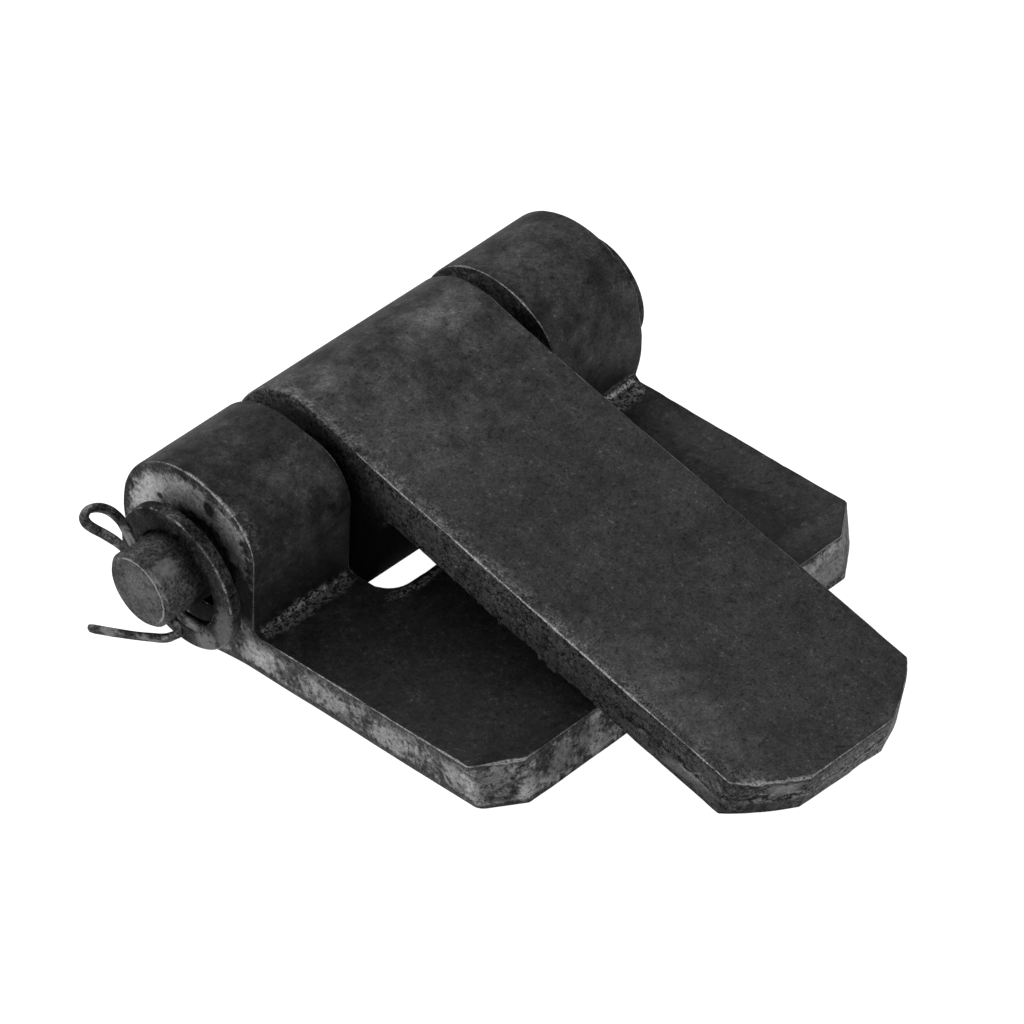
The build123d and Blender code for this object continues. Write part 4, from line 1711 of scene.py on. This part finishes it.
def crews() -> list[Crew]:
    """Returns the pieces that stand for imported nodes, in the order they are made."""
    fork = ForkLeaf(
        "fork_bar", RolledSection(eye_r=16.0, close_angle=55.0, tail_inset=3.45, lean=10.4, hollow_r=0.9),
        CroppedSide(reach=58.3, cut_u=4.8, cut_y=6.2, corner_r=1.0, end_r=1.0), low_y=-37.5, high_y=37.5, seed=11,
    )
    strap = StrapLeaf(
        "strap_bar", RolledSection(eye_r=15.85, close_angle=25.0, tail_inset=0.3),
        CroppedSide(reach=89.6, cut_u=6.4, cut_y=9.4, corner_r=0.6, end_r=0.6, bulge=0.5),
        low_y=-16.8, high_y=17.7, seed=31, edge_r=0.38,
    )
    return [
        Crew(fork, FORK_FINISH, "fork", "fork_leaf", "fork_steel"),
        Crew(strap, STRAP_FINISH, "strap", "strap_leaf", "strap_steel"),
        Crew(Washer(), WASHER_FINISH, "washer", "washer", "washer_steel"),
        Crew(SplitPin(), WIRE_FINISH, "pin", "split_pin", "wire_steel"),
    ]


# ------------------------------------------------------------------ set


@dataclass
class Studio:
    """Pale floor, soft light and the camera.

    Its angles are in degrees.  The lamps' places and sizes are in metres.
    """

    azimuth: float = 50.37
    height: float = 38.68
    tilt: float = -6.78
    look_at: Place = (-22.21, 6.55, 5.64)
    distance: float = 915.01
    lens: float = 225.47
    sensor: float = 36.0
    floor_half: float = 3000.0
    floor_z: float = -0.12
    floor_tone: float = 0.30
    floor_glow: float = 1.0
    surround: float = 0.75

    def camera(self) -> None:
        """Places the camera by its azimuth, height and tilt about the point it looks at.

        Its back is the direction that the two angles give, and its right is
        level, turned by the tilt about its back.
        """
        turn, rise, tilt = (math.radians(value) for value in (self.azimuth, self.height, self.tilt))
        back = Vector((math.sin(turn) * math.cos(rise), -math.cos(turn) * math.cos(rise), math.sin(rise)))
        level = Vector((math.cos(turn), math.sin(turn), 0.0))
        right = level * math.cos(tilt) + back.cross(level) * math.sin(tilt)
        matrix = Matrix((right, back.cross(right), back)).transposed().to_4x4()
        matrix.translation = (Vector(self.look_at) + back * self.distance) * MM
        data = bpy.data.cameras.new("camera")
        data.lens, data.sensor_width = self.lens, self.sensor
        data.clip_start, data.clip_end = 0.01, 10.0
        camera = bpy.data.objects.new("camera", data)
        camera.matrix_world = matrix
        bpy.context.scene.collection.objects.link(camera)
        bpy.context.scene.camera = camera

    def sheet(self) -> None:
        """Lays the floor: one wide flat sheet, pale, with a share of its own light so that shadows stay faint."""
        side = np.array([-self.floor_half, self.floor_half])
        x, y = np.meshgrid(side, side, indexing="ij")
        places = np.stack([x.ravel(), y.ravel(), np.full(x.size, self.floor_z)], axis=1)
        floor = write_mesh("floor", places, grid_faces(2, 2), {})
        m = NodeMaker("pale_floor")
        plain = {
            "Base Color": (*[self.floor_tone] * 3, 1.0), "Roughness": 0.9,
            "Emission Color": (1.0, 1.0, 1.0, 1.0), "Emission Strength": self.floor_glow,
        }
        for name, value in plain.items():
            m.shader.inputs[name].default_value = value
        floor.data.materials.append(m.material)

    def lamp(self, name: str, place: Place, size: float, power: float) -> None:
        """Hangs a square soft light that faces the hinge.

        Args:
            name: its name.
            place: where it hangs, in metres.
            size: its side, in metres.
            power: its power in watts.
        """
        data = bpy.data.lights.new(name, "AREA")
        data.shape, data.size, data.energy = "SQUARE", size, power
        lamp = bpy.data.objects.new(name, data)
        way = Vector(place) - Vector(self.look_at) * MM
        lamp.matrix_world = Matrix.Translation(place) @ way.to_track_quat("Z", "Y").to_matrix().to_4x4()
        bpy.context.scene.collection.objects.link(lamp)

    def light(self) -> None:
        """Hangs the lights in a pale even surround."""
        world = bpy.data.worlds.new("studio")
        bpy.context.scene.world = world
        world.use_nodes = True
        around = world.node_tree.nodes["Background"]
        around.inputs["Color"].default_value = (1.0, 1.0, 1.0, 1.0)
        around.inputs["Strength"].default_value = self.surround
        self.lamp("key", (-0.55, 0.25, 0.75), size=0.50, power=2.2)
        self.lamp("side", (-0.35, -0.85, 0.45), size=0.40, power=3.0)
        bpy.context.scene.view_settings.view_transform = "Standard"


def main() -> None:
    """Builds the pieces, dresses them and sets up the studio."""
    logging.basicConfig(level=logging.INFO, format="%(name)s: %(message)s")
    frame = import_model()
    for crew in crews():
        piece = crew.shape.build()
        piece.data.materials.append(crew.finish.make())
        log.info("%s stands for %s on %s", piece.name, crew.node, crew.body)
        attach(piece, crew.body)
        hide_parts(crew.node)
    pin = frame["nodes"]["hinge_pin"]
    pin.data.materials.clear()
    pin.data.materials.append(PIN_FINISH.make())
    studio = Studio()
    studio.camera()
    studio.sheet()
    studio.light()


if __name__ == "__main__":
    main()
